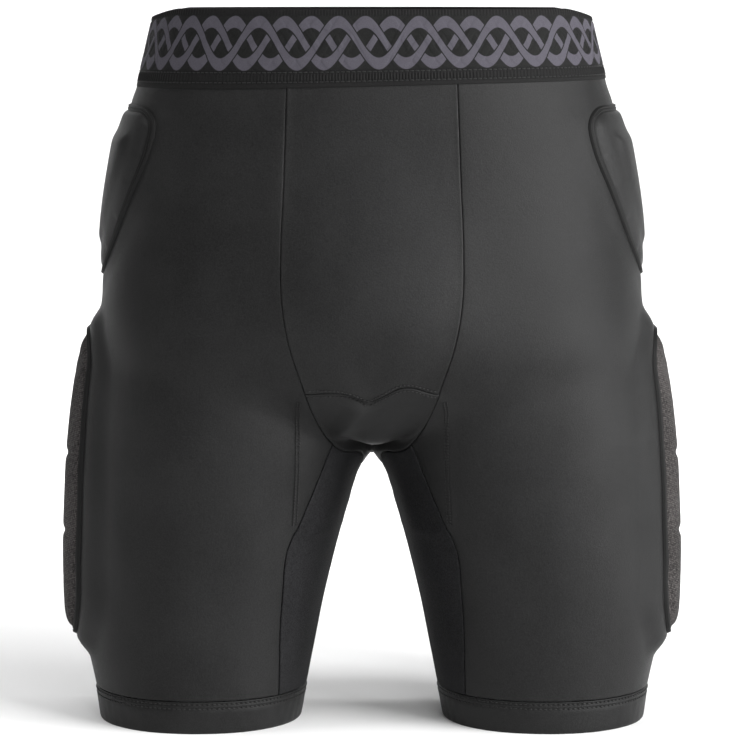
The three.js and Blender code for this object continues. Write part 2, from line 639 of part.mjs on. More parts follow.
// Heights of a foam block's rows, from its lower to its upper end.
function blockHeights(index) {
  const [from, to] = [index, index + 1].map((k) => mix(thighLow + thighBevel[0], thighHigh - thighBevel[0],
    BLOCK_SHARES[k]));
  const low = from + (index ? THIGH_GROOVE / 2 : 0);
  const high = to - (index < 2 ? THIGH_GROOVE / 2 : 0);
  const inner = low + (index ? GROOVE_BEVEL : CUSHION_RIM);
  const outer = high - (index < 2 ? GROOVE_BEVEL : CUSHION_RIM);
  const rows = Math.max(2, Math.round((outer - inner) / FOAM_ROW));
  return [low, ...steps(rows).map((t) => mix(inner, outer, t)), high];
}

function thighRow(z, edges) {
  const columns = [...edges.map((edge) => -(1 - edge / THIGH_PAD_HALF)), -0.45, -0.15, 0.15, 0.45,
    ...edges.slice().reverse().map((edge) => 1 - edge / THIGH_PAD_HALF)];
  return columns.map((part) => sidePoint(THIGH_PAD_PLACE + part * thighPad.half(z), z));
}

BLOCK_NAMES.forEach((name, index) => {
  const grid = blockHeights(index).map((z) => thighRow(z, thighBevel));
  const height = (j, i) => LAYER_GAP + (stepsIn(grid, j, i) ? 1 : 0.45) * THIGH_PAD_FOAM;
  addPair(`thigh_foam_${name}`, shell(grid, LAYER_GAP, height), FOAM);
});

// The cover dips a little over each groove.
const GROOVE_DIP = 0.82;

function thighCoverRows(edge) {
  const rows = [[thighLow + edge, 0], [thighLow + thighFoot + 1.3, 0.6]];
  BLOCK_NAMES.forEach((name, index) => {
    const heights = blockHeights(index);
    rows.push(...heights.slice(1, -1).map((z) => [z, 1]));
    if (index < 2) rows.push([last(heights) + THIGH_GROOVE / 2, GROOVE_DIP]);
  });
  rows.push([thighHigh - thighFoot - 1.3, 0.6], [thighHigh - edge, 0]);
  return rows;
}

const thighCoverGrid = (edge) => thighCoverRows(edge).map(([z]) => thighRow(z, [edge, thighFoot + 1.3,
  thighBevel[1]]));
const thighRows = thighCoverRows(thighFoot);
const thighFoam = (grid, j, i) => THIGH_PAD_FOAM * Math.min(thighRows[j][1],
  [0, 0.6, 1][Math.min(i, grid[0].length - 1 - i, 2)]);
addPair('thigh_pad_cover', padCover(thighCoverGrid(thighFoot), thighFoam), OPEN_MESH);
addPair('thigh_pad_binding', padBinding(thighCoverGrid), BINDING);

// The origin is under the middle of the whole, on the surface that the hems stand on.
const whole = new THREE.Box3().setFromObject(shorts);
shorts.position.y = -(whole.min.y + whole.max.y) / 2;

export default shorts;
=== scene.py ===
"""Padded impact shorts: sewn stretch panels with foam pads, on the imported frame.

Lengths in the shape code are millimetres in the pattern's own frame: +Z up, the wearer faces -Y, the
wearer's left leg at +X. `place_in_row` turns them into metres in the frame that the CAD parts share.
"""
import math

import bpy
import numpy as np
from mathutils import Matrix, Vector
from mathutils.geometry import delaunay_2d_cdt


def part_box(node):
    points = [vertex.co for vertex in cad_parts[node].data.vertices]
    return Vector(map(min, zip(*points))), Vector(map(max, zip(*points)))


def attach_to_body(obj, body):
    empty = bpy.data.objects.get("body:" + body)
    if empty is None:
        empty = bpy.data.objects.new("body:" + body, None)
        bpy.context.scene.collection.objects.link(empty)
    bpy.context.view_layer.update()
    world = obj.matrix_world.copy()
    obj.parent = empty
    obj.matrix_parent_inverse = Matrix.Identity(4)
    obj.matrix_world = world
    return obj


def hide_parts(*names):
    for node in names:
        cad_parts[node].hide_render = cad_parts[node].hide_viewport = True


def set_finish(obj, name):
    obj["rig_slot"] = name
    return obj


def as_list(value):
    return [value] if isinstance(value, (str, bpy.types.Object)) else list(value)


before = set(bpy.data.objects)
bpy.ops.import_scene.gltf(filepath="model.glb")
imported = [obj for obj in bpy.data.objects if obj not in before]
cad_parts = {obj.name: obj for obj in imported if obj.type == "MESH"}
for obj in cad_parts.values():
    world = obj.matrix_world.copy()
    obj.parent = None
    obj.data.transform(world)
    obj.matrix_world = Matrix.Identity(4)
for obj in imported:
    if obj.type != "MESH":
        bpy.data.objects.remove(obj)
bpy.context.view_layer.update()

# ---- Sizes ---------------------------------------------------------------------------------------
TOTAL_HEIGHT = 433
INSIDE_LEG = 168
WAIST_SEAM = 390
PANEL_TOP = 393  # the panels run up inside the waistband
HEM_SEAM = 20
CROTCH_SEAM = 210
CROTCH_DIP = 5.5
CROTCH_CORNER = 39.3
UNDER_CENTRE = INSIDE_LEG + 67
MESH_ANGLE = 43.5
UNDER_ANGLE = 88
END_ANGLE = 146
MESH_CORNER = 24
MESH_REAR_ANGLE = -80
BACK_SEAM_ANGLE = 150
ELASTIC_HALF = 1.0
FABRIC = 1.0
SEAM_GAP = 0.5
HEM_THICKNESS = 1.8
STITCH_ROW = 3.4
BINDING_WIDTH = 4.2
BAND_HEIGHT = 43
BAND_STRETCH = 1.15  # worn girth over relaxed girth
STRETCH = 1.06  # worn size over cut size
PAD_INSET = 3.4  # a cover's edge lies this far inside the outer edge of its binding

# ---- Body form -----------------------------------------------------------------------------------
MID = 4
TABLE = np.arange(-5, 440, 0.25)


def hermite(places, values, at):
    places = np.asarray(places, float)
    values = np.asarray(values, float)
    gaps = np.diff(places)
    slopes = np.diff(values) / gaps
    tangents = np.concatenate([slopes[:1], np.zeros(len(places) - 2), slopes[-1:]])
    tangents[1:-1] = (slopes[:-1] * gaps[1:] + slopes[1:] * gaps[:-1]) / (gaps[:-1] + gaps[1:])
    at = np.clip(at, places[0], places[-1])
    i = np.clip(np.searchsorted(places, at) - 1, 0, len(places) - 2)
    t = (at - places[i]) / gaps[i]
    return ((2 * t**3 - 3 * t**2 + 1) * values[i] + (t**3 - 2 * t**2 + t) * gaps[i] * tangents[i]
            + (3 * t**2 - 2 * t**3) * values[i + 1] + (t**3 - t**2) * gaps[i] * tangents[i + 1])


def profile(keys):
    """A smooth curve through (place, value) pairs, level beyond its ends."""
    places, values = zip(*keys)
    return lambda at: hermite(places, values, np.asarray(at, float))


def tabled(keys):
    """The same over heights, looked up from a table."""
    table = profile(keys)(TABLE)
    return lambda z: np.interp(z, TABLE, table)


leg_outer = tabled([(0, 167.5), (20, 170), (45, 175), (95, 176), (140, 174.5), (190, 170.5),
                    (240, 163), (300, 152), (360, 140)])
leg_inner = tabled([(0, 44), (45, 36), (95, 24.5), (131, 14.5), (156, 8), (175, 2), (210, -2), (300, 0)])
leg_front = tabled([(0, 64), (45, 71), (95, 79), (131, 85), (170, 91), (220, 94), (300, 84)])
leg_back = tabled([(0, 74), (45, 80), (95, 86), (131, 92), (170, 100), (220, 108), (300, 96)])
hip_half = tabled([(170, 1), (180, 48), (195, 86), (220, 124), (245, 148), (270, 157), (300, 156),
                   (340, 151), (372, 145.5), (396, 140), (410, 136.5), (433, 131)])
hip_front = tabled([(170, 1), (180, 44), (195, 72), (220, 93), (245, 102), (280, 105), (330, 105),
                    (390, 101), (433, 98)])
hip_back = tabled([(170, 1), (180, 52), (195, 84), (220, 107), (245, 117), (280, 121), (330, 115),
                   (390, 100), (433, 94)])
blend_width = tabled([(150, 5), (180, 14), (205, 46), (300, 46)])
FRONT_BULGE = ((0, -62, 256), (64, 48, 78))
SEAT_BULGE = ((60, 50, 262), (80, 82, 92))


def leg_middle(z):
    return (leg_outer(z) + leg_inner(z)) / 2


def section_distance(x, y, a, b, power):
    u = np.abs(x / a)
    v = np.abs(y / b)
    size = (u**power + v**power) ** (1 / power) + 1e-9
    slope = np.hypot(u ** (power - 1) / a, v ** (power - 1) / b) * size ** (1 - power)
    return (size - 1) / np.maximum(slope, 0.9 / np.maximum(a, b))


def ball_distance(x, y, z, ball, side=1):
    (cx, cy, cz), (sx, sy, sz) = ball
    u = (x - side * cx) / sx
    v = (y - cy) / sy
    w = (z - cz) / sz
    far = np.sqrt(u * u + v * v + w * w) + 1e-9
    return far * (far - 1) / (np.sqrt((u / sx) ** 2 + (v / sy) ** 2 + (w / sz) ** 2) + 1e-9)


def blend(a, b, width):
    share = np.maximum(width - np.abs(a - b), 0) / width
    return np.minimum(a, b) - share**3 * width / 6


def form(p):
    """Negative inside the wearer, zero on the outer face of the fabric."""
    x = np.abs(p[..., 0])
    y = p[..., 1]
    z = p[..., 2]
    outer = leg_outer(z)
    inner = leg_inner(z)
    middle = (outer + inner) / 2
    half = (outer - inner) / 2
    depth = np.where(y < MID, leg_front(z) + MID, leg_back(z) - MID)
    near = section_distance(x - middle, y - MID, half, depth, 2.1)
    far = section_distance(-x - middle, y - MID, half, depth, 2.1)
    legs = blend(near, far, 24) + np.maximum(0, z - 225) ** 2 * 0.0045
    hips = section_distance(x, y, hip_half(z), np.where(y < 0, hip_front(z), hip_back(z)), 2.25)
    hips = hips + np.maximum(0, 170 - z)
    width = blend_width(z)
    front = blend(blend(legs, hips, width), ball_distance(x, y, z, FRONT_BULGE), width)
    seat = blend(ball_distance(x, y, z, SEAT_BULGE), ball_distance(x, y, z, SEAT_BULGE, -1), 60)
    return blend(front, seat, width)


def normal_at(p):
    slope = np.stack([form(p + step) - form(p - step) for step in np.eye(3) * 0.5], axis=-1)
    return slope / np.linalg.norm(slope, axis=-1, keepdims=True)


def cast(start, direction):
    """Points where rays from inside the wearer leave the form, and the outward directions there."""
    start, direction = np.broadcast_arrays(start, direction)
    shape = start.shape
    start = start.reshape(-1, 3)
    direction = direction.reshape(-1, 3)
    far = np.ones(len(start))
    active = np.arange(len(start))
    while len(active):
        inside = form(start[active] + direction[active] * far[active, None]) < 0
        active = active[inside]
        far[active] += 4
    near = np.maximum(far - 4, 0)
    for _ in range(13):
        middle = (near + far) / 2
        inside = form(start + direction * middle[:, None]) < 0
        near = np.where(inside, middle, near)
        far = np.where(inside, far, middle)
    point = start + direction * ((near + far) / 2)[:, None]
    return point.reshape(shape), normal_at(point).reshape(shape)


def stack(*parts):
    return np.stack(np.broadcast_arrays(*[np.asarray(part, float) for part in parts]), axis=-1)


def front_point(x, z, y=0):
    return cast(stack(x, y, z), np.array([0.0, -1, 0]))


def back_point(x, z):
    return cast(stack(x, 0, z), np.array([0.0, 1, 0]))


def side_point(y, z):
    return cast(stack(leg_middle(z), y, z), np.array([1.0, 0, 0]))


def around(angle):
    turn = np.radians(angle)
    return stack(np.sin(turn), -np.cos(turn), 0)


def leg_point(angle, z):
    """Round the wearer's left leg, from 0 degrees in front, by way of the outer side."""
    return cast(stack(leg_middle(z), MID, z), around(angle))


def waist_point(angle, z):
    return cast(stack(0, 0, z), around(angle))


def under_point(angle, x):
    turn = np.radians(angle)
    return cast(stack(x, 0, UNDER_CENTRE), stack(0, -np.cos(turn), -np.sin(turn)))


def level(normal):
    flat = normal * [1, 1, 0]
    return flat / np.linalg.norm(flat, axis=-1, keepdims=True)


band_front = waist_point(np.array([0.0]), np.array([WAIST_SEAM + 0.3]))[0][0, 1] - ELASTIC_HALF
ROW_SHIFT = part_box("waistband")[0][1] * 1000 - band_front


def place_in_row(points):
    return (points + [0, ROW_SHIFT, 0]) / 1000


# ---- Small helpers -------------------------------------------------------------------------------
def mix(a, b, t):
    return a + (b - a) * t


def smooth(t):
    t = np.clip(t, 0, 1)
    return t * t * (3 - 2 * t)


def lengths(points):
    """Running length along a line of points."""
    return np.concatenate([[0], np.cumsum(np.linalg.norm(np.diff(points, axis=0), axis=1))])


def sampled(at, run, values):
    """The values along a line, each column interpolated at the given places."""
    return stack(*[np.interp(at, run, column) for column in values.T])


def hump(distance, width):
    return np.exp(-((distance / width) ** 2))


random = np.random.default_rng(7)


def make_waves(wavelength, count=7):
    directions = random.normal(size=(count, 3))
    directions /= np.linalg.norm(directions, axis=1, keepdims=True)
    spread = wavelength * random.uniform(0.75, 1.35, count)
    phases = random.uniform(0, 2 * math.pi, count)

    def waves(p):
        parts = zip(directions * 2 * math.pi / spread[:, None], phases)
        return sum(np.sin(p @ turn + phase) for turn, phase in parts) / math.sqrt(count)

    return waves


broad_waves = make_waves(95)
middle_waves = make_waves(34)
pucker_waves = make_waves(8.5)


# ---- Meshes --------------------------------------------------------------------------------------
def attach(name, mesh, slot):
    """An object for a mesh, which rides on the shorts' one body."""
    made = bpy.data.objects.new(f"{name}_sewn", mesh)
    bpy.context.scene.collection.objects.link(made)
    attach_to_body(made, "root")
    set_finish(made, slot)
    return made


def coordinates_of(mesh):
    points = np.empty(len(mesh.vertices) * 3)
    mesh.vertices.foreach_get("co", points)
    return points.reshape(-1, 3)


def new_object(name, points, faces, material, slot, coordinates=None, smooth_angle=50):
    """An object in the row's frame from points in the pattern's frame. coordinates are the cloth's own,
    in mm, one pair for each face corner."""
    mesh = bpy.data.meshes.new(name)
    placed = place_in_row(np.asarray(points).reshape(-1, 3))
    counts = np.array([len(face) for face in faces])
    corners = np.concatenate([np.asarray(face) for face in faces])
    mesh.vertices.add(len(placed))
    mesh.vertices.foreach_set("co", placed.ravel())
    mesh.loops.add(len(corners))
    mesh.loops.foreach_set("vertex_index", corners)
    mesh.polygons.add(len(faces))
    mesh.polygons.foreach_set("loop_start", np.concatenate([[0], np.cumsum(counts)[:-1]]))
    mesh.update(calc_edges=True)
    if coordinates is not None:
        layer = mesh.uv_layers.new(name="cloth")
        layer.data.foreach_set("uv", (np.asarray(coordinates).reshape(-1, 2) / 1000).ravel())
    mesh.polygons.foreach_set("use_smooth", np.ones(len(faces), bool))
    mesh.set_sharp_from_angle(angle=math.radians(smooth_angle))
    mesh.materials.append(material)
    return attach(name, mesh, slot)


def shell_faces(rows, cols, ring):
    """Quads of a closed shell: an outer grid, an inner grid and the walls between their edges. Gives the
    point of each corner, and its row and column."""
    span = cols if ring else cols - 1
    j, i = (index.ravel() for index in np.meshgrid(np.arange(rows - 1), np.arange(span), indexing="ij"))
    across = np.arange(span)
    down = np.arange(rows - 1)

    def quads(*corners):
        return np.stack([np.stack(np.broadcast_arrays(*corner), axis=-1) for corner in corners], axis=1)

    def wall(a, b):
        return quads((0, *b), (0, *a), (1, *a), (1, *b))

    sets = [quads((0, j, i), (0, j, i + 1), (0, j + 1, i + 1), (0, j + 1, i)),
            quads((1, j + 1, i), (1, j + 1, i + 1), (1, j, i + 1), (1, j, i)),
            wall((0, across), (0, across + 1)),
            wall((rows - 1, across + 1), (rows - 1, across))]
    if not ring:
        sets.append(wall((down + 1, 0), (down, 0)))
        sets.append(wall((down, cols - 1), (down + 1, cols - 1)))
    layer, row, col = np.moveaxis(np.concatenate(sets), -1, 0)
    return layer * rows * cols + row * cols + col % cols, row, col


def cloth_coordinates(points, ring=False):
    """Lengths along and down a grid, in mm, with one more column on a ring."""
    if ring:
        points = np.concatenate([points, points[:, :1]], axis=1)
    along = np.linalg.norm(np.diff(points, axis=1), axis=2)
    along = np.concatenate([np.zeros((len(points), 1)), np.cumsum(along, axis=1)], axis=1)
    if ring:
        along = np.broadcast_to(along.mean(axis=0), along.shape)
    else:
        along = along - along[:, along.shape[1] // 2, None]
    down = np.linalg.norm(np.diff(points, axis=0), axis=2).mean(axis=1)
    down = np.concatenate([[0], np.cumsum(down)])
    return np.stack([along, np.broadcast_to(down[:, None], along.shape)], axis=-1)


def grid_shell(name, points, normals, high, low, material, slot, ring=False, coordinates=None):
    """A closed shell between two heights over a grid."""
    rows, cols = points.shape[:2]
    high = np.broadcast_to(high, (rows, cols))[..., None]
    low = np.broadcast_to(low, (rows, cols))[..., None]
    corners = np.stack([points + normals * high, points + normals * low])
    faces, row, col = shell_faces(rows, cols, ring)
    if coordinates is None:
        coordinates = cloth_coordinates(points, ring)
    pairs = coordinates[row, col]
    if volume_of(corners.reshape(-1, 3), faces) < 0:
        faces = faces[:, ::-1]
        pairs = pairs[:, ::-1]
    return new_object(name, corners, faces, material, slot, pairs)


def volume_of(points, quads):
    a, b, c, d = (points[quads[:, k]] for k in range(4))
    return float(np.sum(a * np.cross(b, c)) + np.sum(a * np.cross(c, d)))


def mirror_of(source, name):
    """The same piece for the wearer's right."""
    mesh = source.data.copy()
    mesh.name = name
    mesh.vertices.foreach_set("co", (coordinates_of(mesh) * [-1, 1, 1]).ravel())
    mesh.flip_normals()
    mesh.update()
    return attach(name, mesh, source["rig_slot"])


# ---- Materials -----------------------------------------------------------------------------------
class Cloth:
    """A Principled material whose patterns are laid out in the cloth's own coordinates."""

    def __init__(self, name, roughness=0.5, specular=0.4):
        self.material = bpy.data.materials.new(name)
        self.material.use_nodes = True
        self.tree = self.material.node_tree
        self.shader = self.tree.nodes["Principled BSDF"]
        self.shader.inputs["Roughness"].default_value = roughness
        self.shader.inputs["Specular IOR Level"].default_value = specular
        self.uv = self.node("ShaderNodeUVMap", uv_map="cloth").outputs["UV"]
        split = self.node("ShaderNodeSeparateXYZ")
        self.link(self.uv, split.inputs[0])
        self.u = split.outputs["X"]
        self.v = split.outputs["Y"]
        place = self.node("ShaderNodeTexCoord")
        self.place = place.outputs["Object"]

    def node(self, kind, **settings):
        made = self.tree.nodes.new(kind)
        for key, value in settings.items():
            setattr(made, key, value)
        return made

    def link(self, source, target):
        self.tree.links.new(source, target)

    def math(self, operation, *values, clamp=False):
        made = self.node("ShaderNodeMath", operation=operation, use_clamp=clamp)
        for socket, value in zip(made.inputs, values):
            if isinstance(value, (int, float)):
                socket.default_value = value
            else:
                self.link(value, socket)
        return made.outputs[0]

    def add(self, *values):
        total = values[0]
        for value in values[1:]:
            total = self.math("ADD", total, value)
        return total

    def times(self, a, b):
        return self.math("MULTIPLY", a, b)

    def wave(self, along, period_mm, shift=0.0):
        """From -1 to 1 and back over each period."""
        turn = self.math("MULTIPLY_ADD", along, 2 * math.pi * 1000 / period_mm, shift)
        return self.math("SINE", turn)

    def noise(self, size_mm, detail=2.0, stretch=(1, 1, 1), of=None):
        mapping = self.node("ShaderNodeMapping")
        mapping.inputs["Scale"].default_value = [1000 / size_mm * s for s in stretch]
        self.link(self.place if of is None else of, mapping.inputs["Vector"])
        texture = self.node("ShaderNodeTexNoise")
        texture.inputs["Scale"].default_value = 1
        texture.inputs["Detail"].default_value = detail
        self.link(mapping.outputs[0], texture.inputs["Vector"])
        return texture.outputs["Fac"]

    def ramp(self, factor, *stops):
        made = self.node("ShaderNodeValToRGB")
        elements = made.color_ramp.elements
        while len(elements) < len(stops):
            elements.new(0.5)
        for element, (place, colour) in zip(elements, stops):
            element.position = place
            element.color = (*colour, 1)
        self.link(factor, made.inputs[0])
        return made.outputs[0]

    def map(self, value, low, high, to_low=0.0, to_high=1.0):
        made = self.node("ShaderNodeMapRange", interpolation_type="SMOOTHSTEP")
        limits = {"From Min": low, "From Max": high, "To Min": to_low, "To Max": to_high}
        for socket, number in limits.items():
            made.inputs[socket].default_value = number
        self.link(value, made.inputs["Value"])
        return made.outputs[0]

    def mix_colour(self, factor, a, b):
        made = self.node("ShaderNodeMix", data_type="RGBA")
        self.link(factor, made.inputs["Factor"])
        for socket, value in ((made.inputs[6], a), (made.inputs[7], b)):
            if isinstance(value, tuple):
                socket.default_value = (*value, 1)
            else:
                self.link(value, socket)
        return made.outputs[2]

    def colour(self, value):
        self.link(value, self.shader.inputs["Base Color"])

    def roughness(self, value):
        self.link(value, self.shader.inputs["Roughness"])

    def relief(self, height, depth_mm, strength=1.0):
        bump = self.node("ShaderNodeBump")
        bump.inputs["Strength"].default_value = strength
        bump.inputs["Distance"].default_value = depth_mm / 1000
        self.link(height, bump.inputs["Height"])
        self.link(bump.outputs[0], self.shader.inputs["Normal"])


def grey(value, blue=1.0):
    return (value, value * (1 + (blue - 1) * 0.4), value * blue)


def satin_material(name, base, wale=0.55):
    cloth = Cloth(name, specular=0.13)
    wales = cloth.wave(cloth.u, wale)
    courses = cloth.wave(cloth.v, wale * 0.8)
    knit = cloth.add(cloth.times(wales, 0.5), cloth.times(cloth.times(wales, courses), 0.35))
    grain = cloth.noise(0.9, 3)
    slow = cloth.noise(46, 2)
    tone = cloth.add(cloth.times(slow, 0.35), cloth.times(grain, 0.65))
    cloth.colour(cloth.ramp(tone, (0.34, grey(base * 0.62)), (0.66, grey(base * 1.45, 1.01))))
    wear = cloth.add(cloth.times(grain, 0.6), cloth.times(slow, 0.4))
    cloth.roughness(cloth.map(wear, 0.25, 0.75, 0.40, 0.54))
    cloth.relief(cloth.add(cloth.times(knit, 0.5), cloth.times(grain, 1.6)), 0.09, 0.8)
    return cloth.material


def mesh_material(name, base, cell, hole, contrast, relief):
    """A warp-knit mesh: rows of small round holes, each row half a cell across from the last."""
    cloth = Cloth(name, roughness=0.75, specular=0.12)
    across = cloth.wave(cloth.u, cell)
    down = cloth.wave(cloth.v, cell * 1.15)
    lattice = cloth.times(across, down)
    holes = cloth.map(cloth.math("ABSOLUTE", lattice), 1 - hole - 0.25, 1 - hole + 0.2)
    grain = cloth.noise(0.7, 2)
    slow = cloth.noise(38, 2)
    speckle = cloth.noise(cell * 0.8, 1)
    light = cloth.ramp(cloth.add(cloth.times(slow, 0.25), cloth.times(speckle, 0.75)),
                       (0.36, tuple(0.35 * c for c in base)), (0.64, tuple(1.75 * c for c in base)))
    cloth.colour(cloth.mix_colour(holes, light, tuple(c * contrast for c in base)))
    threads = cloth.add(cloth.times(grain, 0.5), cloth.times(speckle, 1.5))
    cloth.relief(cloth.math("SUBTRACT", threads, holes), relief, 0.7)
    return cloth.material


def elastic_material():
    """Ribbed elastic with a woven braid of three strands."""
    cloth = Cloth("waistband_elastic", roughness=0.72, specular=0.12)
    ribs = cloth.wave(cloth.u, 0.9)
    picks = cloth.wave(cloth.v, 0.75)
    weave = cloth.times(ribs, picks)
    grain = cloth.noise(0.6, 2)
    strands = braid_nodes(cloth)
    ground = cloth.ramp(grain, (0.3, grey(0.005)), (0.7, grey(0.0085)))
    yarn = cloth.ramp(cloth.add(cloth.times(cloth.math("ABSOLUTE", weave), 0.5), cloth.times(grain, 0.5)),
                      (0.2, (0.042, 0.039, 0.048)), (0.75, (0.072, 0.068, 0.083)))
    cloth.colour(cloth.mix_colour(strands, ground, yarn))
    cloth.relief(cloth.add(cloth.times(weave, 0.6), cloth.times(grain, 0.5)), 0.14, 0.6)
    return cloth.material


BRAID_WAVES = 16
BRAID_MIDDLE = 24.4
BRAID_RISE = 11.5
BRAID_HALF = 3.15


def braid_nodes(cloth):
    """1 on the strands, 0 off them."""
    mask = None
    for k in range(3):
        line = cloth.wave(cloth.u, band_length / BRAID_WAVES, k * 2 * math.pi / 3)
        offset = cloth.math("SUBTRACT", cloth.v, cloth.math("MULTIPLY_ADD", line, BRAID_RISE / 1000,
                                                            BRAID_MIDDLE / 1000))
        away = cloth.math("ABSOLUTE", offset)
        on = cloth.map(away, (BRAID_HALF + 0.35) / 1000, (BRAID_HALF - 0.1) / 1000)
        if mask is None:
            mask = on
            continue
        border = cloth.map(away, (BRAID_HALF + 1.5) / 1000, (BRAID_HALF + 1.1) / 1000)
        kept = cloth.times(mask, cloth.math("SUBTRACT", 1.0, border))
        mask = cloth.math("MAXIMUM", kept, on)
    return mask


def braid_height(along, up):
    """The same strands as heights from 0 to 1."""
    total = np.zeros(np.broadcast(along, up).shape)
    for k in range(3):
        line = BRAID_MIDDLE + BRAID_RISE * np.sin(2 * math.pi * BRAID_WAVES * along + k * 2 * math.pi / 3)
        away = np.abs(up - line)
        on = smooth((BRAID_HALF + 0.5 - away) / 0.8)
        border = smooth((BRAID_HALF + 1.6 - away) / 0.5)
        total = np.maximum(total * (1 - border), on)
    return total


def thread_material():
    cloth = Cloth("sewing_thread", roughness=0.55, specular=0.2)
    twist = cloth.noise(0.35, 1)
    cloth.colour(cloth.ramp(twist, (0.3, grey(0.006)), (0.7, grey(0.018))))
    cloth.relief(twist, 0.08, 0.6)
    return cloth.material


def plain_material(name, base, roughness, grain_mm, relief):
    cloth = Cloth(name, roughness=roughness, specular=0.15)
    grain = cloth.noise(grain_mm, 3)
    slow = cloth.noise(grain_mm * 30, 2)
    tone = cloth.add(cloth.times(slow, 0.4), cloth.times(grain, 0.6))
    cloth.colour(cloth.ramp(tone, (0.3, grey(base * 0.8)), (0.7, grey(base * 1.25))))
    cloth.relief(grain, relief, 0.7)
    return cloth.material


def binding_material():
    cloth = Cloth("stretch_binding", roughness=0.6, specular=0.14)
    ribs = cloth.wave(cloth.v, 0.7)
    grain = cloth.noise(0.6, 2)
    tone = cloth.add(cloth.times(ribs, 0.2), cloth.times(grain, 0.8))
    cloth.colour(cloth.ramp(tone, (0.25, grey(0.0045)), (0.75, grey(0.009))))
    cloth.relief(cloth.add(cloth.times(ribs, 0.5), grain), 0.08, 0.6)
    return cloth.material


band_angles = np.arange(1440) * 0.25
band_line = waist_point(band_angles, np.full(1440, WAIST_SEAM + 22.0))[0]
band_length = float(lengths(np.concatenate([band_line, band_line[:1]]))[-1])

SATIN = satin_material("satin_stretch_knit", 0.0105)
PAD_SATIN = satin_material("satin_pad_cover", 0.012)
KNIT = mesh_material("fine_knit_mesh", (0.0105, 0.0105, 0.0112), 1.1, 0.3, 0.35, 0.12)
OPEN_MESH = mesh_material("open_spacer_mesh", (0.046, 0.042, 0.041), 1.9, 0.4, 0.12, 0.7)
ELASTIC = elastic_material()
BINDING = binding_material()
THREAD = thread_material()
LABEL = plain_material("woven_label", 0.42, 0.6, 0.5, 0.05)

# ---- Seams ---------------------------------------------------------------------------------------
front_seam_half = profile([(CROTCH_SEAM, CROTCH_CORNER), (223, 43.6), (232, 46.6), (250, 50.8), (267, 52.9),
                           (296, 53.2), (325, 52), (WAIST_SEAM, 49.6)])


def crotch_height(x):
    """The crotch seam: a little arched on each side of a pulled-down middle."""
    share = np.clip(x / CROTCH_CORNER, -1, 1)
    arch = np.where(share > 0, 4.4, 1.0) * np.sin(np.abs(share) * math.pi) ** 2
    return CROTCH_SEAM + arch - CROTCH_DIP * np.exp(-np.abs(x + 3) / 13) * (1 - np.abs(share)) * 1.25


seam_z = np.linspace(PANEL_TOP, CROTCH_SEAM, 181)
front_seam = front_point(front_seam_half(seam_z), seam_z)[0]
CORNER_ANGLE = math.degrees(math.atan2(UNDER_CENTRE - CROTCH_SEAM, -front_seam[-1, 1]))
gusset_half = profile([(CORNER_ANGLE, CROTCH_CORNER), (MESH_ANGLE, MESH_CORNER), (61, 11), (UNDER_ANGLE, 8),
                       (120, 8), (END_ANGLE, 6)])


def gusset_edge(start, end, count):
    angles = np.linspace(start, end, count)
    return under_point(angles, gusset_half(angles))[0]


gusset_front = gusset_edge(CORNER_ANGLE, MESH_ANGLE, 40)
gusset_under = gusset_edge(MESH_ANGLE, UNDER_ANGLE, 60)
gusset_rear = gusset_edge(UNDER_ANGLE, END_ANGLE, 90)
gusset_line = np.concatenate([gusset_front, gusset_under[1:], gusset_rear[1:]])
mesh_top = gusset_front[-1, 2]
mesh_front_x = profile([(HEM_SEAM, 56), (80.6, 53.5), (115.1, 49), (124, 45), (mesh_top, MESH_CORNER)])
mesh_z = np.linspace(mesh_top, HEM_SEAM, 150)
mesh_front = front_point(mesh_front_x(mesh_z), mesh_z, MID)[0]


def leg_chart(points):
    """Angle round the left leg and height."""
    x, y, z = np.moveaxis(points, -1, 0)
    return np.stack([np.degrees(np.arctan2(x - leg_middle(z), MID - y)), z], axis=-1)


rear_angle, rear_top = leg_chart(gusset_under[-1])
rear_t = np.linspace(0, 1, 150)
rear_turn = mix(rear_angle, MESH_REAR_ANGLE, smooth(rear_t * 2.4))
mesh_rear = leg_point(rear_turn, mix(rear_top, HEM_SEAM, rear_t))[0]


class Edge:
    """A line of points as a function of the share of its length, in the leg's angle and height."""

    def __init__(self, points, turn=None):
        self.points = points
        self.length = lengths(points)[-1]
        self.share = lengths(points) / self.length
        self.chart = leg_chart(points)
        if turn is not None:
            self.chart[self.chart[:, 0] < turn - 180, 0] += 360

    def at(self, share):
        return sampled(share, self.share, self.chart)


def straight(angle_a, angle_b, z_a, z_b):
    t = np.linspace(0, 1, 120)
    return leg_point(mix(angle_a, angle_b, t), mix(z_a, z_b, t))[0]


EDGE_STEPS = (0.0, 0.35, 0.8, 1.4, 2.2, 3.4)


def spread(length, spacing, count=None):
    """Shares along a length with steps close together near both ends."""
    steps = np.array(EDGE_STEPS) + SEAM_GAP / 2
    if count is None:
        count = max(3, round((np.mean(length) - 2 * steps[-1]) / spacing))
    inner = np.linspace(0, 1, count + 1)[1:-1]
    length = np.asarray(length, float)[..., None]
    first = steps / length
    last = 1 - first[..., ::-1]
    middle = mix(first[..., -1:], last[..., :1], inner)
    return np.concatenate([first, middle, last], axis=-1)


